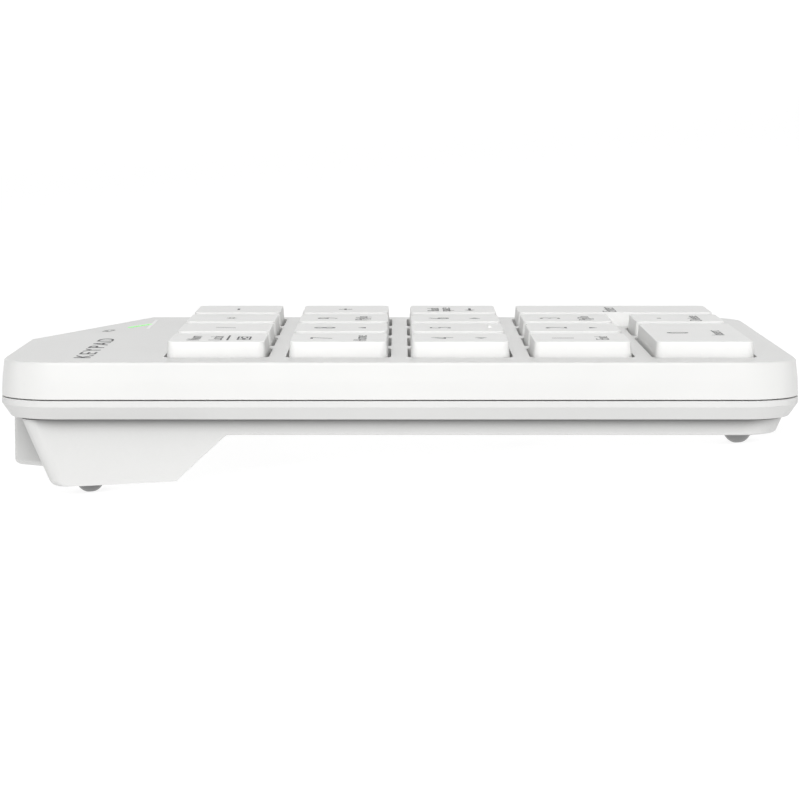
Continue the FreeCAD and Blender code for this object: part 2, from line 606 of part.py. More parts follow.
def membrane():
    """The switch membrane, with a folded tail that runs down to its connector."""
    low = size("plate_level") + size("plate_thickness")
    plan = stack_outline("membrane_outline", "Dims.stack_width", "Dims.stack_length", str(low))
    sheet_part = extrusion("membrane_sheet", plan, "Dims.membrane_thickness")
    rear = size("rear_row") - 2 * size("pitch") + size("stack_length") / 2
    thick = size("membrane_thickness")
    foot = size("board_level") + size("board_thickness") + 0.6
    points = [(rear - 1, low + thick), (rear - 1, low), (rear + 2, low), (rear + 5.5, foot),
              (rear + 8.2, foot), (rear + 8.2, foot + thick), (rear + 5.7, foot + thick),
              (rear + 2.2, low + thick)]
    tail = extrusion("membrane_tail", polygon("tail_side", points, plane="YZ"), "Dims.tail_width", (1, 0, 0))
    bind(tail, {"Placement.Base.x": "Dims.case_offset_x - Dims.tail_width - 11"})
    whole = fuse("membrane_whole", [sheet_part, tail])
    return finish("membrane", cut("membrane_bored", whole, *boss_passes("membrane_pass")))


def backing_plate():
    plan = stack_outline("plate_outline", "Dims.stack_width", "Dims.stack_length", "Dims.plate_level")
    plate = extrusion("plate_sheet", plan, "Dims.plate_thickness")
    return finish("backing_plate", cut("plate_bored", plate, *boss_passes("plate_pass")))


# ---------------------------------------------------------------- stabiliser wires

def rod(start, end):
    """A round length of wire between two points, with a round end."""
    run = end - start
    straight = doc.addObject("Part::Cylinder", "wire_run")
    bind(straight, {"Radius": "Dims.wire_radius"})
    straight.Height = run.Length
    straight.Placement = FreeCAD.Placement(start, FreeCAD.Rotation(vector(0, 0, 1), run))
    ball = doc.addObject("Part::Sphere", "wire_bend")
    bind(ball, {"Radius": "Dims.wire_radius"})
    ball.Placement.Base = end
    return [straight, ball]


def stabiliser_wire(name):
    """A wire with a long bar in the frame's clips and two arms whose feet lift the cap evenly."""
    arm, span = size("wire_arm"), size("wire_half_span")
    rise = math.asin(size("travel") / 2 / arm)
    lift = vector(arm * math.cos(rise), 0, arm * math.sin(rise))
    points = [lift + vector(0, -span - size("wire_foot")), lift + vector(0, -span), vector(0, -span),
              vector(0, span), lift + vector(0, span), lift + vector(0, span + size("wire_foot"))]
    pieces = [piece for start, end in zip(points, points[1:]) for piece in rod(start, end)]
    wire = fuse(f"wire_{name}", pieces)
    turn = FreeCAD.Rotation(vector(0, 0, 1), STABILISED[name])
    pivot = key_centre(name) + turn * vector(-size("wire_axis_offset"), 0, size("wire_level"))
    return finish(f"stabiliser_wire_{name}", wire, pivot, STABILISED[name])


# ---------------------------------------------------------------- feet, screws and label

def foot_place(end, side):
    return vector(size("case_offset_x") + side * size("foot_x"), size(f"foot_{end}"))


tilt = math.atan2(size("foot_front_level") - size("foot_rear_level"), size("foot_rear") - size("foot_front"))
LEAN = FreeCAD.Rotation(vector(1, 0, 0), math.degrees(tilt))


def cover_face(end):
    """The level and the lean of the bottom cover's face where a foot sits on it."""
    if end == "front":
        return size("belly_level"), 0.0
    run = size("riser_rear_low") - size("riser_front_low")
    fall = size("riser_low_rear_level") - size("riser_low_front_level")
    along = size("foot_rear") - size("riser_front_low")
    return size("riser_low_front_level") + fall * along / run, math.atan2(fall, run)


def foot_collar(end):
    """The thin round skirt of a foot, lying on the cover's face."""
    face, lean = cover_face(end)
    disc = doc.addObject("Part::Cylinder", "foot_collar")
    bind(disc, {"Radius": "Dims.collar_radius", "Height": "Dims.collar_thickness"})
    turn = FreeCAD.Rotation(vector(1, 0, 0), math.degrees(lean))
    rise = vector(0, 0, face - size(f"foot_{end}_level"))
    disc.Placement = FreeCAD.Placement(rise - turn * vector(0, 0, size("collar_thickness")), turn)
    return disc


def foot(name, end, side):
    """A rubber dome with a skirt, a peg in the cover and a small flat where it stands."""
    dome_part = doc.addObject("Part::Sphere", "foot_ball")
    bind(dome_part, {"Radius": "Dims.foot_radius"})
    peg = cylinder("foot_peg_body", "Dims.foot_radius", "Dims.foot_peg", vector(), "0")
    upper = cylinder("foot_upper", "2 * Dims.foot_radius", "2 * Dims.foot_radius", vector(), "Dims.foot_peg")
    solid = cut(f"{name}_trimmed", fuse(f"{name}_mass", [dome_part, peg, foot_collar(end)]), upper)
    ground = doc.addObject("Part::Box", "foot_ground")
    bind(ground, {"Length": "10", "Width": "10", "Height": "10"})
    down = LEAN.inverted()
    corner = vector(-5, -5, size("foot_flat") - size("foot_radius") - 10)
    ground.Placement = FreeCAD.Placement(down * corner, down)
    place = foot_place(end, side) + vector(0, 0, size(f"foot_{end}_level"))
    return finish(name, cut(f"{name}_cut", solid, ground), place)


def case_screws():
    """Four pan-head screws, driven from below into the top cover's bosses."""
    seat = "Dims.belly_level + Dims.head_sink"
    pieces = []
    for place in boss_places():
        head = cylinder("screw_head", "Dims.head_radius", "Dims.head_height", place,
                        f"{seat} - Dims.head_height")
        shank = cylinder("screw_shank", "Dims.screw_radius", f"Dims.screw_tip - ({seat})", place, seat)
        pieces.append(fuse("screw", [head, shank]))
    return finish("case_screws", fuse("screws", pieces))


def rating_label():
    finish_box("rating_label", "Dims.label_width", "Dims.label_length", "Dims.label_thickness",
               "Dims.case_offset_x - Dims.label_width / 2", "-Dims.label_length / 2",
               "Dims.belly_level - Dims.label_thickness")


# ---------------------------------------------------------------- electronics

def port_sleeve(name, grow, front, length):
    """A lying rounded tube of the port's section."""
    profile = doc.addObject("Sketcher::SketchObject", f"{name}_section")
    rounded_rectangle(profile, f"Dims.port_width + 2 * {grow}", f"Dims.port_height + 2 * {grow}",
                      f"Dims.port_height / 2 - 0.05 + {grow}")
    profile.Placement.Rotation = FreeCAD.Rotation(vector(1, 0, 0), 90)
    bind(profile, {"Placement.Base.x": "Dims.port_x", "Placement.Base.y": front,
                   "Placement.Base.z": f"{BOARD_TOP} + Dims.port_height / 2"})
    return extrusion(name, profile, length, (0, 1, 0))


def port():
    """The charging port: a steel shell open to the rear around a flat tongue."""
    front = "Dims.block_back - Dims.port_length"
    sleeve = port_sleeve("port_outer", "0", front, "Dims.port_length")
    cavity = port_sleeve("port_inner", "(-Dims.port_wall)", f"{front} + Dims.port_back_wall",
                         "Dims.port_length")
    finish("usb_port_shell", cut("port_tube", sleeve, cavity))
    finish_box("usb_port_tongue", "Dims.tongue_width", "Dims.port_length - 2 * Dims.port_back_wall",
               "Dims.tongue_thickness", "Dims.port_x - Dims.tongue_width / 2",
               f"{front} + Dims.port_back_wall",
               f"{BOARD_TOP} + Dims.port_height / 2 - Dims.tongue_thickness / 2")


def power_switch():
    finish_box("power_switch_body", "Dims.switch_width", "Dims.switch_depth", "Dims.switch_height",
               "Dims.switch_x - Dims.switch_width / 2", "Dims.board_rear - Dims.switch_depth", BOARD_TOP)
    finish_box("power_switch_knob", "Dims.knob_width", "Dims.block_back - Dims.board_rear - 0.1",
               "Dims.knob_height", "Dims.switch_x - Dims.knob_width / 2 - Dims.knob_travel / 2",
               "Dims.board_rear + 0.02", KNOB_LEVEL)


def board_parts():
    finish_box("main_board", "Dims.board_width", "Dims.board_rear - Dims.board_front", "Dims.board_thickness",
               "Dims.case_offset_x - Dims.board_width / 2", "Dims.board_front", "Dims.board_level")
    finish_box("controller_chip", "Dims.chip_side", "Dims.chip_side", "Dims.chip_height",
               "Dims.case_offset_x - 2.6", "Dims.board_front + 8.8", BOARD_TOP)
    finish_box("membrane_connector", "Dims.connector_width", "Dims.connector_depth", "Dims.connector_height",
               "Dims.case_offset_x - Dims.connector_width - 10",
               "Dims.rear_row - 2 * Dims.pitch + Dims.stack_length / 2 + 8.2", BOARD_TOP)
    finish_box("battery_cell", "Dims.battery_width", "Dims.battery_depth", "Dims.battery_height",
               "Dims.case_offset_x - 7.5", "Dims.board_front - 6.5", "Dims.battery_level")


def lamp():
    """The status lamp: a light pipe in the deck over a lamp on its own small board."""
    finish("light_pipe", lamp_slot("lamp_pipe", 0, "Dims.lamp_foot", "Dims.deck_level - Dims.lamp_foot"))
    place, turn = vector(size("lamp_x"), size("lamp_y")), size("lamp_angle")
    finish_box("led_board", "Dims.lamp_board_length", "Dims.lamp_board_depth", "Dims.board_thickness",
               "-Dims.lamp_board_length / 2", "-Dims.lamp_board_depth / 2", "Dims.lamp_board_level",
               place, turn)
    finish_box("status_led", "Dims.led_length", "Dims.led_depth", "Dims.led_height", "-Dims.led_length / 2",
               "-Dims.led_depth / 2", "Dims.lamp_board_level + Dims.board_thickness", place, turn)


# ---------------------------------------------------------------- build, check and write

top_cover()
bottom_cover()
key_frame()
membrane()
backing_plate()
for key in KEYS:
    keycap(key)
    dome(key)
for key in STABILISED:
    stabiliser_wire(key)
for end in ("front", "rear"):
    for side, word in ((-1, "left"), (1, "right")):
        foot(f"foot_{end}_{word}", end, side)
case_screws()
rating_label()
port()
power_switch()
board_parts()
lamp()
doc.recompute()


def stand_at(base):
    """Lean the case on its feet about a base and place every sub-part; returns the whole's bounds."""
    bounds = FreeCAD.BoundBox()
    for item, local in nodes.values():
        item.Placement = FreeCAD.Placement(base, LEAN) * local
        bounds.add(item.Shape.optimalBoundingBox())
    return bounds


front_foot = LEAN * vector(0, size("foot_front"), size("foot_front_level"))
standing = vector(0, 0, size("foot_radius") - size("foot_flat") - front_foot.z)
centre = stand_at(standing).Center
standing = standing - vector(centre.x, centre.y)
stand_at(standing)
doc.recompute()

faults = [item.Name for item in doc.Objects if "Invalid" in item.State or "Error" in item.State]
faults += [name for name, (item, local) in nodes.items() if item.Shape.isNull() or not item.Shape.isValid()]
if faults:
    raise RuntimeError(f"failed objects: {faults}")

for name, (item, local) in nodes.items():
    item.Shape.exportStep(f"parts/{name}.step")
print(len(nodes), "sub-parts; tilt", round(math.degrees(tilt), 3), "stands at", standing)
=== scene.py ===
import json
import math
import bmesh
import bpy
from mathutils import Matrix, Vector


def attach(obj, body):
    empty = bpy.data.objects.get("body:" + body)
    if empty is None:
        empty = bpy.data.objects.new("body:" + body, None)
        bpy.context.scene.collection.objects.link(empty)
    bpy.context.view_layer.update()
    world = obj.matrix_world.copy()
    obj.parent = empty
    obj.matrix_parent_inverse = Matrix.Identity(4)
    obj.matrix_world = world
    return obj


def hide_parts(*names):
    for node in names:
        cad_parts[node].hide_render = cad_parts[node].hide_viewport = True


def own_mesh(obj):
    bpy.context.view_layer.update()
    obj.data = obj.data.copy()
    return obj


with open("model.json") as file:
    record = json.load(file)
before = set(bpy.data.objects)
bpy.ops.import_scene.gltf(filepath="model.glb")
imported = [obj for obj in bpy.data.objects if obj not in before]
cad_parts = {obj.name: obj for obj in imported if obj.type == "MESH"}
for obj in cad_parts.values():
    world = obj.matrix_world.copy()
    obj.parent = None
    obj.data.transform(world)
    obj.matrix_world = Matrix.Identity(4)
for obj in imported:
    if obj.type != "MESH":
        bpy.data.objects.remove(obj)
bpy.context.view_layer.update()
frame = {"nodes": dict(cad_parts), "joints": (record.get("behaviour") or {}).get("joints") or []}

# ---------------------------------------------------------------- the case frame, in millimetres
# X runs across the keys, +Y to the rear, Z normal to the deck; z = 0 on the parting plane of the covers.

MM = 0.001
PITCH = 19.0
CASE_WIDTH, CASE_LENGTH, CASE_CORNER, CASE_X = 85.1, 124.0, 9.0, -1.3
DECK, DECK_THICKNESS, WALL = 6.0, 1.5, 1.8
GAP_LOW, GAP_HIGH = 0.02, 0.2
REAR_ROW = 28.6
WIRE_AXIS_OFFSET, WIRE_LEVEL = 4.9, 3.0

JOINTS = {joint["name"]: joint for joint in frame["joints"]}
down = Vector(JOINTS["key_5_slide"]["axis"])
TILT = math.atan2(down.y, -down.z)
LEAN = Matrix.Rotation(TILT, 4, "X")


def case_origin():
    """Where the case frame's origin lies in the row frame, read from the stabiliser's pivot."""
    pivot = Vector(JOINTS["enter_stabiliser_hinge"]["pos_m"])
    in_case = Vector((1.5 * PITCH - WIRE_AXIS_OFFSET, REAR_ROW - 3.5 * PITCH, WIRE_LEVEL)) * MM
    return pivot - LEAN.to_3x3() @ in_case


CASE = Matrix.Translation(case_origin()) @ LEAN @ Matrix.Scale(MM, 4)

# name: (column of its left unit, row counted from the rear, units across, units deep)
KEYS = {
    "num_lock": (0, 0, 1, 1), "divide": (1, 0, 1, 1), "multiply": (2, 0, 1, 1), "subtract": (3, 0, 1, 1),
    "7": (0, 1, 1, 1), "8": (1, 1, 1, 1), "9": (2, 1, 1, 1), "add": (3, 1, 1, 1),
    "4": (0, 2, 1, 1), "5": (1, 2, 1, 1), "6": (2, 2, 1, 1), "backspace": (3, 2, 1, 1),
    "1": (0, 3, 1, 1), "2": (1, 3, 1, 1), "3": (2, 3, 1, 1), "enter": (3, 3, 1, 2),
    "0": (0, 4, 2, 1), "decimal": (2, 4, 1, 1),
}


def key_centre(name):
    """The middle of a key on the case frame's own plane."""
    column, row, across, deep = KEYS[name]
    x = (column - 1.5 + (across - 1) / 2) * PITCH
    y = REAR_ROW - (row + (deep - 1) / 2) * PITCH
    return Vector((x, y, 0))


# ---------------------------------------------------------------- outlines and profiles

def rounded_path(points, radii, steps=6, closed=True):
    """A polyline in two dimensions with each corner turned into an arc of its own radius."""
    path = []
    count = len(points)
    for index, point in enumerate(points):
        corner, radius = Vector(point), radii[index]
        if radius == 0 or (not closed and index in (0, count - 1)):
            path.append(corner)
            continue
        before = (Vector(points[index - 1]) - corner).normalized()
        after = (Vector(points[(index + 1) % count]) - corner).normalized()
        half_angle = before.angle(after) / 2
        centre = corner + (before + after).normalized() * radius / math.sin(half_angle)
        start = corner + before * radius / math.tan(half_angle) - centre
        sweep = start.angle_signed(corner + after * radius / math.tan(half_angle) - centre)
        for step in range(steps + 1):
            turned = start.copy()
            turned.rotate(Matrix.Rotation(-sweep * step / steps, 2))
            path.append(centre + turned)
    return path


def rectangle(width, length, radius, steps=8):
    """A rectangle with round corners about the origin, counter-clockwise."""
    half_x, half_y = width / 2, length / 2
    corners = [(half_x, half_y), (-half_x, half_y), (-half_x, -half_y), (half_x, -half_y)]
    return rounded_path(corners, [radius] * 4, steps)


def case_ring(inset, level):
    """The case's plan outline drawn in by an inset, at a level."""
    radius = max(CASE_CORNER - inset, 1.0)
    plan = rectangle(CASE_WIDTH - 2 * inset, CASE_LENGTH - 2 * inset, radius, steps=14)
    return [Vector((point.x + CASE_X, point.y, level)) for point in plan]


# ---------------------------------------------------------------- mesh helpers

def ring_mesh(rings, capped=True):
    """A bmesh skinned over rings that all have the same number of points."""
    mesh = bmesh.new()
    loops = [[mesh.verts.new(point) for point in ring] for ring in rings]
    count = len(loops[0])
    for lower, upper in zip(loops, loops[1:]):
        for index in range(count):
            following = (index + 1) % count
            mesh.faces.new((lower[index], lower[following], upper[following], upper[index]))
    if capped:
        mesh.faces.new(reversed(loops[0]))
        mesh.faces.new(loops[-1])
    bmesh.ops.recalc_face_normals(mesh, faces=mesh.faces)
    return mesh


def prism(plan, low, high, place=(0, 0)):
    """An upright prism over a plan outline."""
    x, y = place[0], place[1]
    return ring_mesh([[Vector((point[0] + x, point[1] + y, level)) for point in plan] for level in (low, high)])


def turned(profile, steps=40):
    """A bmesh turned about Z from points of (radius, height); zero radii close it at a pole."""
    mesh = bmesh.new()
    rings = []
    for radius, height in profile:
        if radius == 0:
            rings.append([mesh.verts.new((0, 0, height))])
            continue
        angles = [2 * math.pi * step / steps for step in range(steps)]
        rings.append([mesh.verts.new((radius * math.cos(a), radius * math.sin(a), height)) for a in angles])
    for lower, upper in zip(rings, rings[1:]):
        for index in range(steps):
            following = (index + 1) % steps
            corners = [lower[index % len(lower)], lower[following % len(lower)],
                       upper[following % len(upper)], upper[index % len(upper)]]
            distinct = list(dict.fromkeys(corners))
            if len(distinct) > 2:
                mesh.faces.new(distinct)
    bmesh.ops.recalc_face_normals(mesh, faces=mesh.faces)
    return mesh


def joined(*meshes):
    """Several bmeshes in one."""
    whole = bmesh.new()
    for mesh in meshes:
        data = bpy.data.meshes.new("part")
        mesh.to_mesh(data)
        mesh.free()
        whole.from_mesh(data)
        bpy.data.meshes.remove(data)
    return whole


def moved(mesh, matrix):
    """A mesh after a transform."""
    bmesh.ops.transform(mesh, matrix=matrix, verts=mesh.verts)
    return mesh


def at(x=0.0, y=0.0, z=0.0, turn=0.0):
    """A place, with a turn about Z in degrees."""
    return Matrix.Translation((x, y, z)) @ Matrix.Rotation(math.radians(turn), 4, "Z")


def new_object(name, mesh):
    """An object in the case frame, still in millimetres."""
    data = bpy.data.meshes.new(name)
    mesh.to_mesh(data)
    mesh.free()
    item = bpy.data.objects.new(name, data)
    bpy.context.scene.collection.objects.link(item)
    return item


def settle(item):
    """Apply an object's modifiers."""
    graph = bpy.context.evaluated_depsgraph_get()
    data = bpy.data.meshes.new_from_object(item.evaluated_get(graph))
    item.modifiers.clear()
    item.data = data


def combine_objects(item, operation, tool):
    """Join a tool to an object, cut it from it or keep what they share; the tool is used up."""
    modifier = item.modifiers.new(operation, "BOOLEAN")
    modifier.operation = operation
    modifier.solver = "EXACT"
    modifier.object = tool
    settle(item)
    bpy.data.objects.remove(tool)


def combine(item, operation, mesh):
    """The same with a mesh for a tool."""
    combine_objects(item, operation, new_object("tool", mesh))


def taken_mesh(item):
    """The mesh of an object that is itself given up."""
    mesh = bmesh.new()
    mesh.from_mesh(item.data)
    bpy.data.objects.remove(item)
    return mesh


def soften(item, width, angle=40.0):
    """Round every edge sharper than an angle."""
    shortest_edge = 1e-4
    clean = bmesh.new()
    clean.from_mesh(item.data)
    bmesh.ops.remove_doubles(clean, verts=clean.verts, dist=shortest_edge)
    bmesh.ops.dissolve_degenerate(clean, dist=shortest_edge, edges=clean.edges)
    clean.to_mesh(item.data)
    clean.free()
    bevel = item.modifiers.new("bevel", "BEVEL")
    bevel.width = width
    bevel.segments = 3
    bevel.limit_method = "ANGLE"
    bevel.angle_limit = math.radians(angle)
    settle(item)


def finish_piece(item, body, material, replaces=(), sharp=36.0):
    """Shade a piece, carry it into the row frame, and tell the frame what it is."""
    item.data.polygons.foreach_set("use_smooth", [True] * len(item.data.polygons))
    item.data.set_sharp_from_angle(angle=math.radians(sharp))
    weighted = item.modifiers.new("weighted", "WEIGHTED_NORMAL")
    weighted.keep_sharp = True
    weighted.weight = 80
    settle(item)
    item.data.transform(CASE)
    item.data.materials.clear()
    item.data.materials.append(material)
    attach(item, body)
    if replaces:
        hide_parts(*replaces)


# ---------------------------------------------------------------- materials

def node_material(name):
    """A new material's tree, shader and object coordinates, and the material."""
    material = bpy.data.materials.new(name)
    material.use_nodes = True
    tree = material.node_tree
    shader = tree.nodes["Principled BSDF"]
    coordinates = tree.nodes.new("ShaderNodeTexCoord")
    return tree, shader, coordinates.outputs["Object"], material


def noise(tree, coordinates, scale, detail=2.0, stretch=(1, 1, 1)):
    """A cloudy factor, stretched along the axes."""
    mapping = tree.nodes.new("ShaderNodeMapping")
    mapping.inputs["Scale"].default_value = stretch
    texture = tree.nodes.new("ShaderNodeTexNoise")
    texture.inputs["Scale"].default_value = scale
    texture.inputs["Detail"].default_value = detail
    tree.links.new(coordinates, mapping.inputs["Vector"])
    tree.links.new(mapping.outputs["Vector"], texture.inputs["Vector"])
    return texture.outputs["Fac"]


def spread(tree, factor, low, high):
    """Map a noise factor to a range."""
    ranged = tree.nodes.new("ShaderNodeMapRange")
    ranged.inputs["From Min"].default_value = 0.3
    ranged.inputs["From Max"].default_value = 0.7
    ranged.inputs["To Min"].default_value = low
    ranged.inputs["To Max"].default_value = high
    tree.links.new(factor, ranged.inputs["Value"])
    return ranged.outputs["Result"]


def two_tone(tree, factor, first, second):
    """A colour between two, by a factor."""
    mix = tree.nodes.new("ShaderNodeMix")
    mix.data_type = "RGBA"
    mix.inputs["A"].default_value = (*first, 1)
    mix.inputs["B"].default_value = (*second, 1)
    tree.links.new(factor, mix.inputs["Factor"])
    return mix.outputs["Result"]


def add_bump(tree, shader, height, strength, distance):
    """Raise the surface by a height factor, in metres."""
    bump = tree.nodes.new("ShaderNodeBump")
    bump.inputs["Strength"].default_value = strength
    bump.inputs["Distance"].default_value = distance
    tree.links.new(height, bump.inputs["Height"])
    tree.links.new(bump.outputs["Normal"], shader.inputs["Normal"])


def paint_recess_shade(tree, colour, reach, floor):
    """Painted shade: darken a colour by an occlusion node where other surfaces close in within a reach; faces
    that look up stay clear.
    """
    occlusion = tree.nodes.new("ShaderNodeAmbientOcclusion")
    occlusion.inputs["Distance"].default_value = reach
    occlusion.samples = 16
    occlusion.only_local = True
    ranged = tree.nodes.new("ShaderNodeMapRange")
    ranged.inputs["From Min"].default_value = 0.46
    ranged.inputs["From Max"].default_value = 1.03
    ranged.inputs["To Min"].default_value = floor
    ranged.inputs["To Max"].default_value = 1.0
    tree.links.new(occlusion.outputs["AO"], ranged.inputs["Value"])
    facing = tree.nodes.new("ShaderNodeSeparateXYZ")
    tree.links.new(tree.nodes.new("ShaderNodeNewGeometry").outputs["True Normal"], facing.inputs["Vector"])
    shade = tree.nodes.new("ShaderNodeMath")
    shade.operation = "MAXIMUM"
    tree.links.new(ranged.outputs["Result"], shade.inputs[0])
    tree.links.new(facing.outputs["Z"], shade.inputs[1])
    scaled = tree.nodes.new("ShaderNodeVectorMath")
    scaled.operation = "SCALE"
    tree.links.new(colour, scaled.inputs[0])
    tree.links.new(shade.outputs["Value"], scaled.inputs["Scale"])
    return scaled.outputs["Vector"]


def moulded(name, colour, roughness=0.5, grain=4500.0, depth=0.000008, tone=0.97, painted_shade=None):
    """Moulded plastic or rubber with the fine spark-eroded grain of its tool; when asked, painted shade darkens
    its recesses.
    """
    tree, shader, coordinates, material = node_material(name)
    broad = noise(tree, coordinates, 60.0, 3.0)
    fine = noise(tree, coordinates, grain, 2.0)
    darker = tuple(channel * tone for channel in colour)
    mottled = two_tone(tree, spread(tree, broad, 0.0, 1.0), darker, colour)
    # Painted shade: the colour darkens where other surfaces close in, by an occlusion node.
    if painted_shade:
        mottled = paint_recess_shade(tree, mottled, *painted_shade)
    tree.links.new(mottled, shader.inputs["Base Color"])
    tree.links.new(spread(tree, fine, roughness - 0.05, roughness + 0.05), shader.inputs["Roughness"])
    shader.inputs["Specular IOR Level"].default_value = 0.5
    add_bump(tree, shader, fine, 0.35, depth)
    return material


def drawn_metal(name, colour, roughness=0.32, stretch=(1, 30, 30), scale=900.0):
    """Metal with fine lines along its rolling or drawing direction."""
    tree, shader, coordinates, material = node_material(name)
    lines = noise(tree, coordinates, scale, 3.0, stretch)
    darker = tuple(channel * 0.85 for channel in colour)
    tree.links.new(two_tone(tree, spread(tree, lines, 0.0, 1.0), darker, colour), shader.inputs["Base Color"])
    tree.links.new(spread(tree, lines, roughness - 0.08, roughness + 0.1), shader.inputs["Roughness"])
    shader.inputs["Metallic"].default_value = 1.0
    add_bump(tree, shader, lines, 0.2, 0.000006)
    return material


def circuit_board(name):
    """Green solder mask over a raised maze of copper tracks."""
    tree, shader, coordinates, material = node_material(name)
    tracks = tree.nodes.new("ShaderNodeTexBrick")
    tracks.inputs["Scale"].default_value = 260.0
    tracks.inputs["Mortar Size"].default_value = 0.06
    tree.links.new(coordinates, tracks.inputs["Vector"])
    colour = two_tone(tree, tracks.outputs["Fac"], (0.012, 0.11, 0.045), (0.03, 0.2, 0.08))
    tree.links.new(colour, shader.inputs["Base Color"])
    tree.links.new(spread(tree, noise(tree, coordinates, 700.0), 0.3, 0.42), shader.inputs["Roughness"])
    add_bump(tree, shader, tracks.outputs["Fac"], 0.4, 0.00003)
    return material


def lit_pipe(name, colour, strength):
    """A light pipe lit from below, brightest where the frosting is thin."""
    tree, shader, coordinates, material = node_material(name)
    frost = noise(tree, coordinates, 1800.0, 2.0)
    tree.links.new(two_tone(tree, spread(tree, frost, 0.0, 1.0), colour, (0.2, 0.85, 0.15)),
                   shader.inputs["Emission Color"])
    shader.inputs["Base Color"].default_value = (0.15, 0.6, 0.1, 1)
    shader.inputs["Emission Strength"].default_value = strength
    tree.links.new(spread(tree, frost, 0.2, 0.35), shader.inputs["Roughness"])
    add_bump(tree, shader, frost, 0.2, 0.00001)
    return material


CASE_PLASTIC = moulded("case_plastic", (0.69, 0.69, 0.68), roughness=0.38)
# The bottom cover's colour carries painted shade, darker in its recesses under the rim.
PAINTED_SHADE_REACH, PAINTED_SHADE_FLOOR = 0.012, 0.23
BASE_PLASTIC = moulded("base_plastic", (0.668, 0.668, 0.66), roughness=0.55, depth=0.00001,
                       painted_shade=(PAINTED_SHADE_REACH, PAINTED_SHADE_FLOOR))
KEY_PLASTIC = moulded("key_plastic", (0.84, 0.84, 0.83), roughness=0.52, grain=6000.0, depth=0.000005)
FRAME_PLASTIC = moulded("frame_plastic", (0.6, 0.6, 0.59), roughness=0.6)
DARK_PLASTIC = moulded("dark_plastic", (0.02, 0.02, 0.022), roughness=0.45)
CREAM_PLASTIC = moulded("connector_plastic", (0.75, 0.72, 0.62), roughness=0.5)
INK = moulded("legend_ink", (0.085, 0.087, 0.09), roughness=0.6, grain=9000.0, depth=0.000002, tone=0.85)
PALE_INK = moulded("pale_ink", (0.93, 0.93, 0.93), roughness=0.5, grain=9000.0, depth=0.000002)
FILM = moulded("membrane_film", (0.55, 0.6, 0.62), roughness=0.3, grain=1500.0)
LABEL = moulded("label_film", (0.62, 0.62, 0.62), roughness=0.35, grain=3000.0, depth=0.000003)
FOOT_RUBBER = moulded("foot_rubber", (0.24, 0.24, 0.24), roughness=0.36, grain=2500.0, tone=0.8)
DOME_RUBBER = moulded("dome_rubber", (0.7, 0.7, 0.67), roughness=0.65, grain=2500.0)
STEEL = drawn_metal("sheet_steel", (0.62, 0.63, 0.64))
WIRE_STEEL = drawn_metal("wire_steel", (0.6, 0.6, 0.61), stretch=(30, 1, 30))
PORT_STEEL = drawn_metal("port_steel", (0.72, 0.72, 0.72), roughness=0.25, stretch=(30, 2, 30))
SCREW_STEEL = drawn_metal("screw_steel", (0.5, 0.5, 0.51), roughness=0.35, stretch=(4, 4, 4))
FOIL = drawn_metal("battery_foil", (0.7, 0.71, 0.73), roughness=0.38, stretch=(2, 12, 12), scale=350.0)
BOARD = circuit_board("board_laminate")
PIPE = lit_pipe("lamp_pipe", (0.06, 0.75, 0.03), 0.55)
LAMP = lit_pipe("lamp_plastic", (0.3, 0.95, 0.25), 0.8)

INNER_MATERIALS = {
    "key_frame": FRAME_PLASTIC, "membrane": FILM, "backing_plate": STEEL, "main_board": BOARD,
    "led_board": BOARD, "controller_chip": DARK_PLASTIC, "membrane_connector": CREAM_PLASTIC,
    "power_switch_body": DARK_PLASTIC, "battery_cell": FOIL, "status_led": LAMP,
    "stabiliser_wire_enter": WIRE_STEEL, "stabiliser_wire_0": WIRE_STEEL,
}


def dress_inner_nodes():
    """The hidden CAD nodes keep their shapes and get their materials."""
    for node, material in INNER_MATERIALS.items():
        data = frame["nodes"][node].data
        data.materials.clear()
        data.materials.append(material)
        data.set_sharp_from_angle(angle=math.radians(30))


# ---------------------------------------------------------------- top cover

WELL_SIZE, WELL_CORNER = 16.4, 1.9
CUT_LOW, CUT_HIGH = 2.0, 9.0
LAMP_PLACE = at(21.5, 45.74, 0, -26.0)
FACET_KNEE = Vector((2.9, 58.6, 0))
FACET_BLEND = 2.0
FACET_ANGLE, FACET_SLOPE = -19.8, 17.6
END_ANGLE, END_SLOPE = -22.2, 26.7


def well_plan(name):
    """The opening round a key."""
    across, deep = KEYS[name][2:]
    return rectangle(WELL_SIZE + (across - 1) * PITCH, WELL_SIZE + (deep - 1) * PITCH, WELL_CORNER)


def facet_tool(angle, slope, level):
    """The space above a face that falls away beyond a crease, with the crease itself well rounded."""
    inward, reach, ceiling = -40, 200.0, 80
    fall = math.tan(math.radians(slope))
    crease = [(inward, 0), (0, 0), (reach, -reach * fall)]
    side = [(point[0], point[1]) for point in rounded_path(crease, [0, FACET_BLEND, 0], steps=10, closed=False)]
    side += [(reach, ceiling), (inward, ceiling)]
    rings = [[Vector((x, outward, height)) for outward, height in side] for x in (-reach, reach)]
    knee = Matrix.Translation(FACET_KNEE + Vector((0, 0, level)))
    return moved(ring_mesh(rings), knee @ Matrix.Rotation(math.radians(angle), 4, "Z"))


def cut_corner_facet(item, level):
    """Let the far rear corner of a solid fall away along the deck's two creases."""
    tool = new_object("facet", facet_tool(FACET_ANGLE, FACET_SLOPE, level))
    combine(tool, "INTERSECT", facet_tool(END_ANGLE, END_SLOPE, level))
    combine_objects(item, "DIFFERENCE", tool)


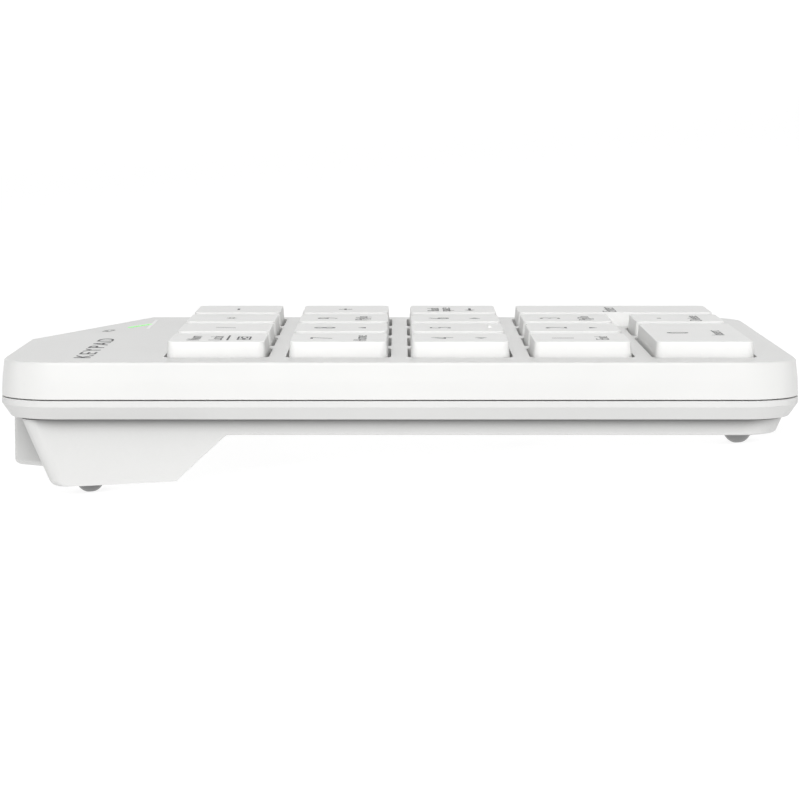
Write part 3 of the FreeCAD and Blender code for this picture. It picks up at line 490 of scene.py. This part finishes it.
def top_cover():
    """The deck and its side walls, hollow, with the key wells and the lamp's slot."""
    ceiling = DECK - DECK_THICKNESS
    wall = rounded_path([(WALL, GAP_HIGH), (0, GAP_HIGH), (0.13, 2.9), (0.48, DECK), (2.0, DECK)],
                        [0, 0.1, 12.0, 0.5, 0], closed=False)
    shell = new_object("case_top", ring_mesh([case_ring(inset, level) for inset, level in wall]))
    cut_corner_facet(shell, DECK)
    hollow = new_object("hollow", ring_mesh([case_ring(WALL, level) for level in (-1.0, ceiling)]))
    cut_corner_facet(hollow, ceiling - 0.1)
    combine_objects(shell, "DIFFERENCE", hollow)
    wells = [prism(well_plan(name), CUT_LOW, CUT_HIGH, key_centre(name)) for name in KEYS]
    slot = moved(prism(rectangle(8.0, 0.75, 0.35), CUT_LOW, CUT_HIGH), LAMP_PLACE)
    combine(shell, "DIFFERENCE", joined(*wells, slot))
    soften(shell, 0.14)
    finish_piece(shell, "case", CASE_PLASTIC, ["top_cover"])


# ---------------------------------------------------------------- bottom cover

RIM_LOW, BELLY_LOW, BELLY_ROUND = -2.98, -5.6, 0.35
BELLY_SIDE, BELLY_FRONT, BELLY_REAR, BELLY_REAR_LEAN = 2.95, 2.45, 3.3, 1.4
GROOVE_DEPTH, GROOVE_LOW, GROOVE_EDGE = 0.6, -3.2, 0.08
FLOOR_THICKNESS, CEILING_THICKNESS = 1.5, 0.8
RISER_DEPTH, RISER_ROUND, RISER_SLOPE = 10.11, 0.9, 0.0495
RISER_HALF, RISER_CORNER = 39.6, 2.6
RISER_REAR, RISER_REAR_LEAN = 58.55, 4.55
RISER_FRONT, RISER_FRONT_LEAN, RISER_LEVEL_AT = 26.5, 8.05, 45.4
SLOPE_START = GROOVE_LOW - BELLY_LOW
BLOCK_HALF, BLOCK_BACK, BLOCK_FRONT, BLOCK_LOW = 20.7, 62.05, 50.0, -12.75
BLOCK_FLARE, BLOCK_FLARE_DEPTH, BLOCK_ROUND, BLOCK_WALL = 3.5, 5.5, 1.0, 1.6


def belly_ring(inward, share, level):
    """The belly's plan outline at a level; its front and rear lean in more than its sides."""
    side = BELLY_SIDE + inward
    front = BELLY_FRONT + share + inward
    rear = BELLY_REAR + BELLY_REAR_LEAN * share + inward
    plan = rectangle(CASE_WIDTH - 2 * side, CASE_LENGTH - front - rear, CASE_CORNER - side, steps=14)
    return [Vector((x + CASE_X, y + (front - rear) / 2, level)) for x, y in plan]


def riser_ring(inset, drop, depth):
    """One plan outline of the riser; its rear leans in, its front and floor slope."""
    share = depth / RISER_DEPTH
    slope = max(0.0, depth - SLOPE_START) / (RISER_DEPTH - SLOPE_START)
    half = RISER_HALF - inset
    rear = RISER_REAR - RISER_REAR_LEAN * share - inset - drop
    front = RISER_FRONT + RISER_FRONT_LEAN * slope + inset
    corners = [(half, rear), (-half, rear), (-half, front), (half, front)]
    radii = [max(RISER_CORNER - inset, 0.8)] * 2 + [0.15, 0.15]
    return [Vector((x + CASE_X, y, GROOVE_LOW - depth - share * RISER_SLOPE * (y - RISER_LEVEL_AT)))
            for x, y in rounded_path(corners, radii, steps=10)]


def riser(thickness=0.0):
    """The rear riser, its rear lower edge rounded; a thickness gives the hollow inside it."""
    lower = RISER_DEPTH - thickness
    top = CEILING_THICKNESS if thickness else 0
    levels = [top, SLOPE_START]
    levels += [SLOPE_START + (lower - SLOPE_START) * step / 5 for step in range(1, 5)]
    curve = [(RISER_ROUND * (1 - math.cos(angle)), lower - RISER_ROUND + RISER_ROUND * math.sin(angle))
             for angle in (math.radians(step) for step in (0, 15, 30, 45, 60, 75, 90))]
    profile = [(0.0, level) for level in levels] + curve
    return ring_mesh([riser_ring(thickness, drop, depth) for drop, depth in profile])


def block_ring(inset, level):
    """One plan outline of the central rear block."""
    half, back = BLOCK_HALF - inset, BLOCK_BACK - inset
    right = [(half, back), (half + BLOCK_FLARE, back - BLOCK_FLARE_DEPTH),
             (half + 1.6 * BLOCK_FLARE, BLOCK_FRONT)]
    corners = right + [(-x, y) for x, y in reversed(right)]
    plan = rounded_path(corners, [1.2, 2.0, 0, 0, 2.0, 1.2], steps=6)
    return [Vector((x + CASE_X, y, level)) for x, y in plan]


def rear_block(inset=0.0, low=BLOCK_LOW, high=GROOVE_LOW):
    """The block that holds the port and the switch, or the hollow inside it."""
    profile = rounded_path([(inset, high), (inset, low), (inset + 3, low)], [0, BLOCK_ROUND, 0], closed=False)
    return ring_mesh([block_ring(step_in, level) for step_in, level in profile])


def lying(mesh, x, y, z):
    """Turn an upright prism to point along +Y from a place."""
    return moved(mesh, Matrix.Translation((x, y, z)) @ Matrix.Rotation(math.radians(-90), 4, "X"))


BOSSES = [(side * 19.0, y) for y in (19.1, -18.9) for side in (-1, 1)]
SEAT = BELLY_LOW + 1.3
SINK_RADIUS, HOLE_RADIUS = 2.1, 1.15
PORT_X, PORT_Z, SWITCH_X, SWITCH_Z = -9.3, -8.3, 7.7, -8.2
FOOT_RADIUS, FOOT_FLAT, FOOT_X = 2.25, 0.15, 35.2
FEET = {(end, hand): Vector((CASE_X + side * FOOT_X, y, z))
        for end, y, z in (("front", -52.45, -5.07), ("rear", 48.3, -12.78))
        for side, hand in ((-1, "left"), (1, "right"))}


def belly_rings():
    """The rings of the bottom cover from the parting line down: rim, groove, belly."""
    rim = rounded_path([(10, GAP_LOW), (0, GAP_LOW), (0, -0.95), (1.4, RIM_LOW), (3, RIM_LOW)],
                       [0, 0.1, 0.25, 0.2, 0], closed=False)
    rings = [case_ring(inset, level) for inset, level in rim]
    rings += [belly_ring(GROOVE_DEPTH, 0, RIM_LOW), belly_ring(GROOVE_DEPTH, 0, GROOVE_LOW)]
    rings += [belly_ring(GROOVE_EDGE, 0, GROOVE_LOW), belly_ring(0, 0, GROOVE_LOW - GROOVE_EDGE)]
    edge = rounded_path([(0, BELLY_LOW + 1), (0, BELLY_LOW), (1, BELLY_LOW)], [0, BELLY_ROUND, 0], closed=False)
    return rings + [belly_ring(inward, (GROOVE_LOW - level) / SLOPE_START, level) for inward, level in edge[1:]]


def screw_sink(x, y):
    """A hole for a case screw, wider below its seat."""
    profile = [(0, -8), (SINK_RADIUS, -8), (SINK_RADIUS, SEAT), (HOLE_RADIUS, SEAT), (HOLE_RADIUS, -2), (0, -2)]
    return moved(turned(profile, 32), at(x, y))


def foot_seat(place):
    """The shallow round seat of a foot."""
    profile = [(0, -4), (FOOT_RADIUS, -4), (FOOT_RADIUS, 0.2), (0, 0.2)]
    return moved(turned(profile, 32), Matrix.Translation(place))


def bottom_cover():
    """The rim, belly, riser and rear block in one, hollow, with every opening."""
    rim_floor, window_front = -1.6, 59.0
    shell = new_object("case_base", ring_mesh(belly_rings()))
    combine(shell, "UNION", riser())
    combine(shell, "UNION", rear_block())
    belly_levels = (BELLY_LOW + FLOOR_THICKNESS, 1.0)
    hollows = [
        ring_mesh([case_ring(WALL, level) for level in (rim_floor, 2.0)]),
        ring_mesh([belly_ring(FLOOR_THICKNESS, 0, level) for level in belly_levels]),
        riser(thickness=FLOOR_THICKNESS),
        rear_block(BLOCK_WALL, BLOCK_LOW + FLOOR_THICKNESS, GROOVE_LOW - CEILING_THICKNESS),
    ]
    for hollow in hollows:
        combine(shell, "DIFFERENCE", hollow)
    sinks = [screw_sink(x, y) for x, y in BOSSES]
    seats = [foot_seat(place) for place in FEET.values()]
    combine(shell, "DIFFERENCE", joined(*sinks, *seats))
    port_window = lying(prism(rectangle(9.24, 3.5, 1.7), 0, 6), PORT_X, window_front, PORT_Z)
    switch_window = lying(prism(rectangle(6.2, 2.4, 0.5), 0, 6), SWITCH_X, window_front, SWITCH_Z)
    combine(shell, "DIFFERENCE", joined(port_window, switch_window))
    soften(shell, 0.12, angle=50)
    finish_piece(shell, "case", BASE_PLASTIC, ["bottom_cover"])


# ---------------------------------------------------------------- keycaps

KEY_TOP, SKIRT_LOW = 8.44, 3.4
KEY_BASE, KEY_DRAFT, KEY_CORNER = 15.4, 0.4, 1.4
KEY_WALL, KEY_ROOF, KEY_EDGE = 1.2, 1.2, 0.12
STEM_RADIUS, STEM_LOW, STEM_TOP = 2.6, 0.7, KEY_TOP - 0.9


def key_ring(name, share, inset, level):
    """A keycap's outline part of the way from its base to its top, drawn in by an inset."""
    across, deep = KEYS[name][2:]
    width = KEY_BASE - KEY_DRAFT * share + (across - 1) * PITCH - 2 * inset
    length = KEY_BASE - KEY_DRAFT * share + (deep - 1) * PITCH - 2 * inset
    corner = max(KEY_CORNER - KEY_DRAFT * share - inset, 0.4)
    return [Vector((point.x, point.y, level)) for point in rectangle(width, length, corner)]


def keycap(name):
    """A hollow cap with its stem, drafted above the deck; long caps get tabs for their wire."""
    height = KEY_TOP - DECK
    side = rounded_path([(0, SKIRT_LOW), (0, KEY_TOP), (3, KEY_TOP)], [0, KEY_EDGE, 0], closed=False)
    rings = [key_ring(name, 1.2, KEY_WALL, KEY_TOP - KEY_ROOF), key_ring(name, 1.0, KEY_WALL, SKIRT_LOW)]
    for inset, level in side:
        rings.append(key_ring(name, max(0.0, (level - DECK) / height), inset, level))
    rings.insert(3, key_ring(name, 0.0, 0.0, DECK))
    cap = ring_mesh(rings)
    stem = turned([(0, STEM_LOW), (STEM_RADIUS - 0.15, STEM_LOW), (STEM_RADIUS, STEM_LOW + 0.15),
                   (STEM_RADIUS, STEM_TOP), (0, STEM_TOP)], 28)
    pieces = [cap, stem]
    if name == "5":
        pieces.append(moved(homing_bar(), at(0, -5.3, KEY_TOP)))
    if name in ("enter", "0"):
        pieces += [moved(tab(side), at(turn=0 if name == "enter" else 90)) for side in (-1, 1)]
    centre = key_centre(name)
    item = new_object(f"keycap_{name}", moved(joined(*pieces), at(centre.x, centre.y)))
    finish_piece(item, f"key_{name}", KEY_PLASTIC, [f"key_{name}"], sharp=40)


def homing_bar():
    """The small raised bar that a finger finds on the middle key."""
    length, width, height = 3.6, 0.6, 0.35
    profile = rounded_path([(0, -0.2), (0, height), (1, height)], [0, 0.2, 0], steps=5, closed=False)
    rings = [[Vector((p.x, p.y, level)) for p in rectangle(length - 2 * inset, width - 2 * inset, 0.09)]
             for inset, level in profile[:-1]]
    return ring_mesh(rings)


def tab(side):
    """A tab under a long cap, slotted for one foot of its stabiliser wire."""
    middle = side * 12.2
    plan = rectangle(4.0, 1.2, 0.15, steps=3)
    blade = new_object("tab", prism(plan, 3.2, STEM_TOP, (1.1, middle)))
    combine(blade, "DIFFERENCE", prism(rectangle(1.6, 3.0, 0.1, steps=2), 3.55, 4.65, (1.05, middle)))
    return taken_mesh(blade)


# ---------------------------------------------------------------- legends and printed marks

INK_LIFT, INK_THICKNESS = 0.012, 0.012
CAPITAL_SHARE = 0.66        # a capital's height as a share of the type size
NUMERAL = 3.4
UPPER, LOWER = (-1.4, 2.75), (-1.4, -3.35)


def flat(plan):
    """A thin printed patch over a plan outline."""
    return prism(plan, INK_LIFT, INK_LIFT + INK_THICKNESS)


def lettering(words, height, place, spacing=1.0, weight=-0.012, stretch=1.0):
    """Printed characters, centred at a place, drawn wider by a stretch."""
    curve = bpy.data.curves.new("lettering", "FONT")
    curve.body = words
    curve.size = height / CAPITAL_SHARE
    curve.offset = weight * height
    curve.space_character = spacing
    curve.align_x = "CENTER"
    curve.align_y = "CENTER"
    curve.extrude = INK_THICKNESS / 2
    curve.resolution_u = 4
    item = bpy.data.objects.new("lettering", curve)
    bpy.context.scene.collection.objects.link(item)
    graph = bpy.context.evaluated_depsgraph_get()
    mesh = bmesh.new()
    mesh.from_mesh(bpy.data.meshes.new_from_object(item.evaluated_get(graph)))
    bpy.data.objects.remove(item)
    low = [min(v.co[axis] for v in mesh.verts) for axis in (0, 1)]
    high = [max(v.co[axis] for v in mesh.verts) for axis in (0, 1)]
    centred = Matrix.Translation((-(low[0] + high[0]) / 2, -(low[1] + high[1]) / 2, 0))
    lifted = Matrix.Translation((*place, INK_LIFT + INK_THICKNESS / 2))
    return moved(mesh, lifted @ Matrix.Diagonal((stretch, 1, 1, 1)) @ centred)


def word(text, place, height=2.0):
    """A small printed word in the wide letters of the keys."""
    return lettering(text, height, place, stretch=1.25)


def triangle(length, base, place, turn):
    """A printed solid triangle that points along +X before it is turned."""
    points = [(-length / 2, -base / 2), (length / 2, 0), (-length / 2, base / 2)]
    return moved(flat(points), at(place[0], place[1], 0, turn))


def arrow(length, head, line, place, turn):
    """A printed arrow that points along +X before it is turned."""
    half = length / 2
    shaft = flat([(-half, -line / 2), (half - head, -line / 2), (half - head, line / 2), (-half, line / 2)])
    point = flat([(half - head, -head * 0.6), (half, 0), (half - head, head * 0.6)])
    return moved(joined(shaft, point), at(place[0], place[1], 0, turn))


def bar(length, width, place):
    """A printed stroke with softened ends."""
    plan = rectangle(length, width, min(length, width) * 0.3, steps=3)
    return moved(flat(plan), at(place[0], place[1]))


def frame_mark(width, length, line, place):
    """A printed outline of a rectangle, made of four bars."""
    x, y = place
    return joined(bar(width, line, (x, y + length / 2)), bar(width, line, (x, y - length / 2)),
                  bar(line, length, (x - width / 2, y)), bar(line, length, (x + width / 2, y)))


def numeral(digit, lower=None):
    """A digit with a word below it, or a triangle turned to an angle."""
    marks = [lettering(digit, NUMERAL, UPPER)]
    if isinstance(lower, str):
        marks.append(word(lower, LOWER))
    elif lower is not None:
        marks.append(triangle(1.3, 1.9, LOWER, lower))
    return marks


LEGENDS = {
    "num_lock": lambda: [word("Num", (-1.4, 3.75)), word("Lock", (-1.4, 0.3)), bar(8.4, 0.3, (-0.9, -1.6)),
                         frame_mark(5.2, 1.9, 0.26, (-1.6, -4.1)), bar(0.3, 1.9, (-1.6, -4.1)),
                         bar(1.4, 0.6, (-2.9, -4.1)), bar(1.4, 0.3, (-0.3, -3.7)),
                         bar(1.4, 0.3, (-0.3, -4.5))],
    "divide": lambda: [lettering("/", 3.2, (-1.0, 0))],
    "multiply": lambda: [lettering("*", 2.5, (-1.0, 0.2), weight=0.02)],
    "subtract": lambda: [bar(2.7, 0.42, (-1.0, 0.1))],
    "add": lambda: [bar(2.4, 0.4, (-1.0, 0.1)), bar(0.4, 2.4, (-1.0, 0.1))],
    "7": lambda: numeral("7", "Home"), "8": lambda: numeral("8", 90), "9": lambda: numeral("9", "PgUp"),
    "4": lambda: numeral("4", 180), "5": lambda: numeral("5"), "6": lambda: numeral("6", 0),
    "1": lambda: numeral("1", "End"), "2": lambda: numeral("2", -90), "3": lambda: numeral("3", "PgDn"),
    "0": lambda: numeral("0", "Insert"),
    "decimal": lambda: [bar(0.75, 0.75, (-1.4, 3.1)), word("Delete", (-1.4, -2.8))],
    "backspace": lambda: [word("Back", (-1.4, 3.5)), word("space", (-1.4, 0.8)),
                          arrow(5.0, 1.5, 0.42, (-1.4, -3.0), 180)],
    "enter": lambda: [word("Enter", (-1.4, 0.9), height=2.4)],
}


def legend(name):
    """The print on a key's top."""
    centre = key_centre(name)
    mesh = moved(joined(*LEGENDS[name]()), at(centre.x, centre.y, KEY_TOP))
    finish_piece(new_object(f"legend_{name}", mesh), f"key_{name}", INK)


def keypad_mark():
    """The plain word for what this is, in wide capitals along the deck."""
    capitals = lettering("KEYPAD", 2.5, (0, 0), spacing=1.25, weight=0.005, stretch=2.1)
    return moved(capitals, at(-20.5, 49.0, DECK, -1.0))


def lamp_mark():
    """A small plain cell symbol beside the status lamp."""
    marks = [frame_mark(3.0, 1.2, 0.17, (0, 0)), bar(0.25, 0.5, (1.75, 0)), bar(0.6, 0.5, (-0.9, 0))]
    return moved(joined(*marks), at(11.5, 50.2, DECK, -15))


def deck_marks():
    """The dark print on the deck and the pale stroke beside the lamp."""
    dark = new_object("deck_mark", joined(keypad_mark(), lamp_mark()))
    finish_piece(dark, "case", INK)
    stroke = new_object("deck_stroke", moved(bar(19.0, 0.55, (0, 0)), at(25.0, 43.9, DECK)))
    finish_piece(stroke, "case", PALE_INK)


# ---------------------------------------------------------------- small outer pieces

def light_pipe():
    """The lit bar that fills the deck's slot, a hair proud of it."""
    length, width, corner, top = 7.9, 0.65, 0.31, DECK + 0.06
    profile = rounded_path([(0, 2.8), (0, top), (0.5, top)], [0, 0.12, 0], steps=4, closed=False)
    plans = [(rectangle(length - 2 * inset, width - 2 * inset, corner - inset), level)
             for inset, level in profile[:-1]]
    rings = [[Vector((point.x, point.y, level)) for point in plan] for plan, level in plans]
    item = new_object("light_bar", moved(ring_mesh(rings), LAMP_PLACE))
    finish_piece(item, "case", PIPE, ["light_pipe"])


def foot_skirt(end):
    """The thin round skirt of a foot, lying on the cover's face."""
    if end == "front":
        face, lean = BELLY_LOW, 0.0
    else:
        face, lean = -12.8 - RISER_SLOPE * (FEET[end, "left"].y - 34.6), -math.atan(RISER_SLOPE)
    radius, thickness = 2.9, 0.26
    disc = turned([(0, 0), (radius, 0), (radius, -0.2), (2.84, -thickness), (0, -thickness)], 48)
    lie = Matrix.Translation((0, 0, face - FEET[end, "left"].z)) @ Matrix.Rotation(lean, 4, "X")
    return moved(disc, lie)


def foot(end, hand):
    """A rubber dome on its peg, with a thin skirt, cut level where it stands."""
    radius, play = FOOT_RADIUS, 0.02
    angles = [math.radians(angle) for angle in range(0, 90, 6)]
    profile = [(0, 0.18), (radius - 0.1, 0.18), (radius - play, 0.1)]
    profile += [(radius * math.cos(angle) - play, -radius * math.sin(angle)) for angle in angles]
    profile.append((0, -radius))
    item = new_object(f"dome_foot_{end}_{hand}", turned(profile, 48))
    level = Matrix.Rotation(-TILT, 4, "X") @ Matrix.Translation((0, 0, FOOT_FLAT - radius - 5))
    combine(item, "DIFFERENCE", moved(prism(rectangle(10, 10, 0.5), -5, 5), level))
    combine(item, "UNION", foot_skirt(end))
    item.data.transform(Matrix.Translation(FEET[end, hand]))
    soften(item, 0.08)
    finish_piece(item, "case", FOOT_RUBBER, [f"foot_{end}_{hand}"])


def rubber_dome(name):
    """A thin rubber dome under its key, with a mesh of its own."""
    low = -2.5
    outside = [(4.4, low), (4.4, low + 0.4), (3.95, low + 0.45), (3.5, low + 0.9), (2.6, low + 1.7),
               (2.3, low + 1.95), (2.3, 0.6), (2.2, 0.7), (0, 0.7)]
    inside = [(0, low + 1.45), (1.85, low + 1.45), (2.2, low + 1.25), (3.0, low + 0.5), (3.5, low),
              (4.4, low)]
    centre = key_centre(name)
    item = new_object(f"rubber_dome_{name}", moved(turned(inside + outside[1:], 32), at(centre.x, centre.y)))
    finish_piece(item, "case", DOME_RUBBER, [f"dome_{name}"])
    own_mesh(item)


def screws():
    """Pan-head screws with a cross recess, seen in their sinks under the case."""
    meshes = []
    for x, y in BOSSES:
        head = [(0, SEAT - 1.2), (1.2, SEAT - 1.17), (1.7, SEAT - 0.9), (1.9, SEAT - 0.5), (1.9, SEAT),
                (0.95, SEAT), (0.95, 2.5), (0.3, 3.0), (0, 3.0)]
        item = new_object("screw", turned(head, 32))
        for blade in (rectangle(2.2, 0.5, 0.05, steps=2), rectangle(0.5, 2.2, 0.05, steps=2)):
            combine(item, "DIFFERENCE", prism(blade, SEAT - 2, SEAT - 0.6))
        meshes.append(moved(taken_mesh(item), at(x, y)))
    finish_piece(new_object("screws", joined(*meshes)), "case", SCREW_STEEL, ["case_screws"])


def rating_label():
    """A plain film label under the case, without wording."""
    width, length, corner, thickness = 30, 16, 1.2, 0.12
    plate = prism(rectangle(width, length, corner), BELLY_LOW - thickness, BELLY_LOW, (CASE_X, 0))
    finish_piece(new_object("label", plate), "case", LABEL, ["rating_label"])


def port():
    """The charging port: a drawn shell with a tongue inside."""
    length = 7.35
    place = (PORT_X, BLOCK_BACK - length, PORT_Z)
    shell = new_object("port_shell", lying(prism(rectangle(8.94, 3.2, 1.55), 0, length), *place))
    combine(shell, "DIFFERENCE", lying(prism(rectangle(8.34, 2.6, 1.25), 1.0, 9), *place))
    soften(shell, 0.06)
    finish_piece(shell, "case", PORT_STEEL, ["usb_port_shell"])
    tongue = new_object("port_tongue", lying(prism(rectangle(6.7, 0.7, 0.12, steps=3), 0.95, 6.35), *place))
    soften(tongue, 0.08)
    finish_piece(tongue, "case", DARK_PLASTIC, ["usb_port_tongue"])


def power_knob():
    """The switch's slider, with three grip ridges."""
    length, height, depth, front = 2.6, 1.8, 1.75, 60.22
    x = SWITCH_X - 1.3
    plan = rectangle(length, height, 0.25, steps=4)
    block = new_object("switch_knob", lying(prism(plan, 0, depth - 0.05), x, front, SWITCH_Z))
    for offset in (-0.65, 0.0, 0.65):
        groove = prism(rectangle(0.22, 3.0, 0.1, steps=2), depth - 0.3, depth + 1)
        combine(block, "DIFFERENCE", lying(groove, x + offset, front, SWITCH_Z))
    soften(block, 0.05)
    finish_piece(block, "power_knob", DARK_PLASTIC, ["power_switch_knob"])


# ---------------------------------------------------------------- stage, light and camera

def flat_sheet(name, corners, material):
    """A single face for the studio."""
    data = bpy.data.meshes.new(name)
    data.from_pydata(corners, [], [(0, 1, 2, 3)])
    data.materials.append(material)
    sheet = bpy.data.objects.new(name, data)
    bpy.context.scene.collection.objects.link(sheet)


def glowing_paper(name, glow):
    """White paper with a soft light behind it."""
    tree, shader, coordinates, material = node_material(name)
    fibre = noise(tree, coordinates, 400.0)
    tree.links.new(two_tone(tree, fibre, (0.2, 0.2, 0.2), (0.22, 0.22, 0.22)), shader.inputs["Base Color"])
    shader.inputs["Roughness"].default_value = 0.9
    shader.inputs["Specular IOR Level"].default_value = 0.1
    shader.inputs["Emission Color"].default_value = (1, 1, 1, 1)
    shader.inputs["Emission Strength"].default_value = glow
    return material


def stage():
    """A pale floor, and a pale wall behind the keypad."""
    reach, low, height = 8.0, -0.1, 6.0
    floor = [(-reach, -reach, 0), (reach, -reach, 0), (reach, reach, 0), (-reach, reach, 0)]
    wall = [(reach, -reach, low), (reach, reach, low), (reach, reach, height), (reach, -reach, height)]
    flat_sheet("floor", floor, glowing_paper("floor_paper", 0.86))
    flat_sheet("backdrop", wall, glowing_paper("backdrop_paper", 1.0))


def soft_light(name, place, size, watts):
    """A round soft light that points at the keypad's foot."""
    light = bpy.data.lights.new(name, "AREA")
    light.shape = "DISK"
    light.size = size
    light.energy = watts
    item = bpy.data.objects.new(name, light)
    item.location = place
    item.rotation_euler = (-Vector(place)).to_track_quat("-Z", "Y").to_euler()
    bpy.context.scene.collection.objects.link(item)


def surroundings():
    """An even pale sky and three soft lights."""
    world = bpy.data.worlds.new("studio")
    world.use_nodes = True
    background = world.node_tree.nodes["Background"]
    background.inputs["Color"].default_value = (1.0, 1.0, 1.0, 1)
    background.inputs["Strength"].default_value = 0.36
    bpy.context.scene.world = world
    soft_light("camera_side", (-1.16, 0.03, 0.84), 1.2, 17.4)
    soft_light("front_fill", (-0.2, -1.6, 0.3), 1.0, 3.2)
    soft_light("rear_fill", (-0.2, 1.6, 0.3), 1.0, 2.0)
    bpy.context.scene.view_settings.view_transform = "Standard"


def camera():
    """The camera looks along the key rows from the left of the keypad, a little above the deck."""
    lens = bpy.data.cameras.new("camera")
    lens.sensor_width = 36.0
    lens.lens = 123.87
    lens.clip_start = 0.01
    item = bpy.data.objects.new("camera", lens)
    pitch = math.radians(6.405)
    right = Vector((0, -1, 0))
    forward = Vector((math.cos(pitch), 0, -math.sin(pitch)))
    rotation = Matrix((right, right.cross(forward), -forward)).transposed()
    place = CASE @ Vector((-461.6, 0, 47.1))
    item.matrix_world = Matrix.Translation(place) @ LEAN @ rotation.to_4x4()
    bpy.context.scene.collection.objects.link(item)
    bpy.context.scene.camera = item


camera()
stage()
surroundings()
dress_inner_nodes()
top_cover()
bottom_cover()
for key in KEYS:
    keycap(key)
    legend(key)
    rubber_dome(key)
deck_marks()
light_pipe()
for end, hand in FEET:
    foot(end, hand)
screws()
rating_label()
port()
power_knob()
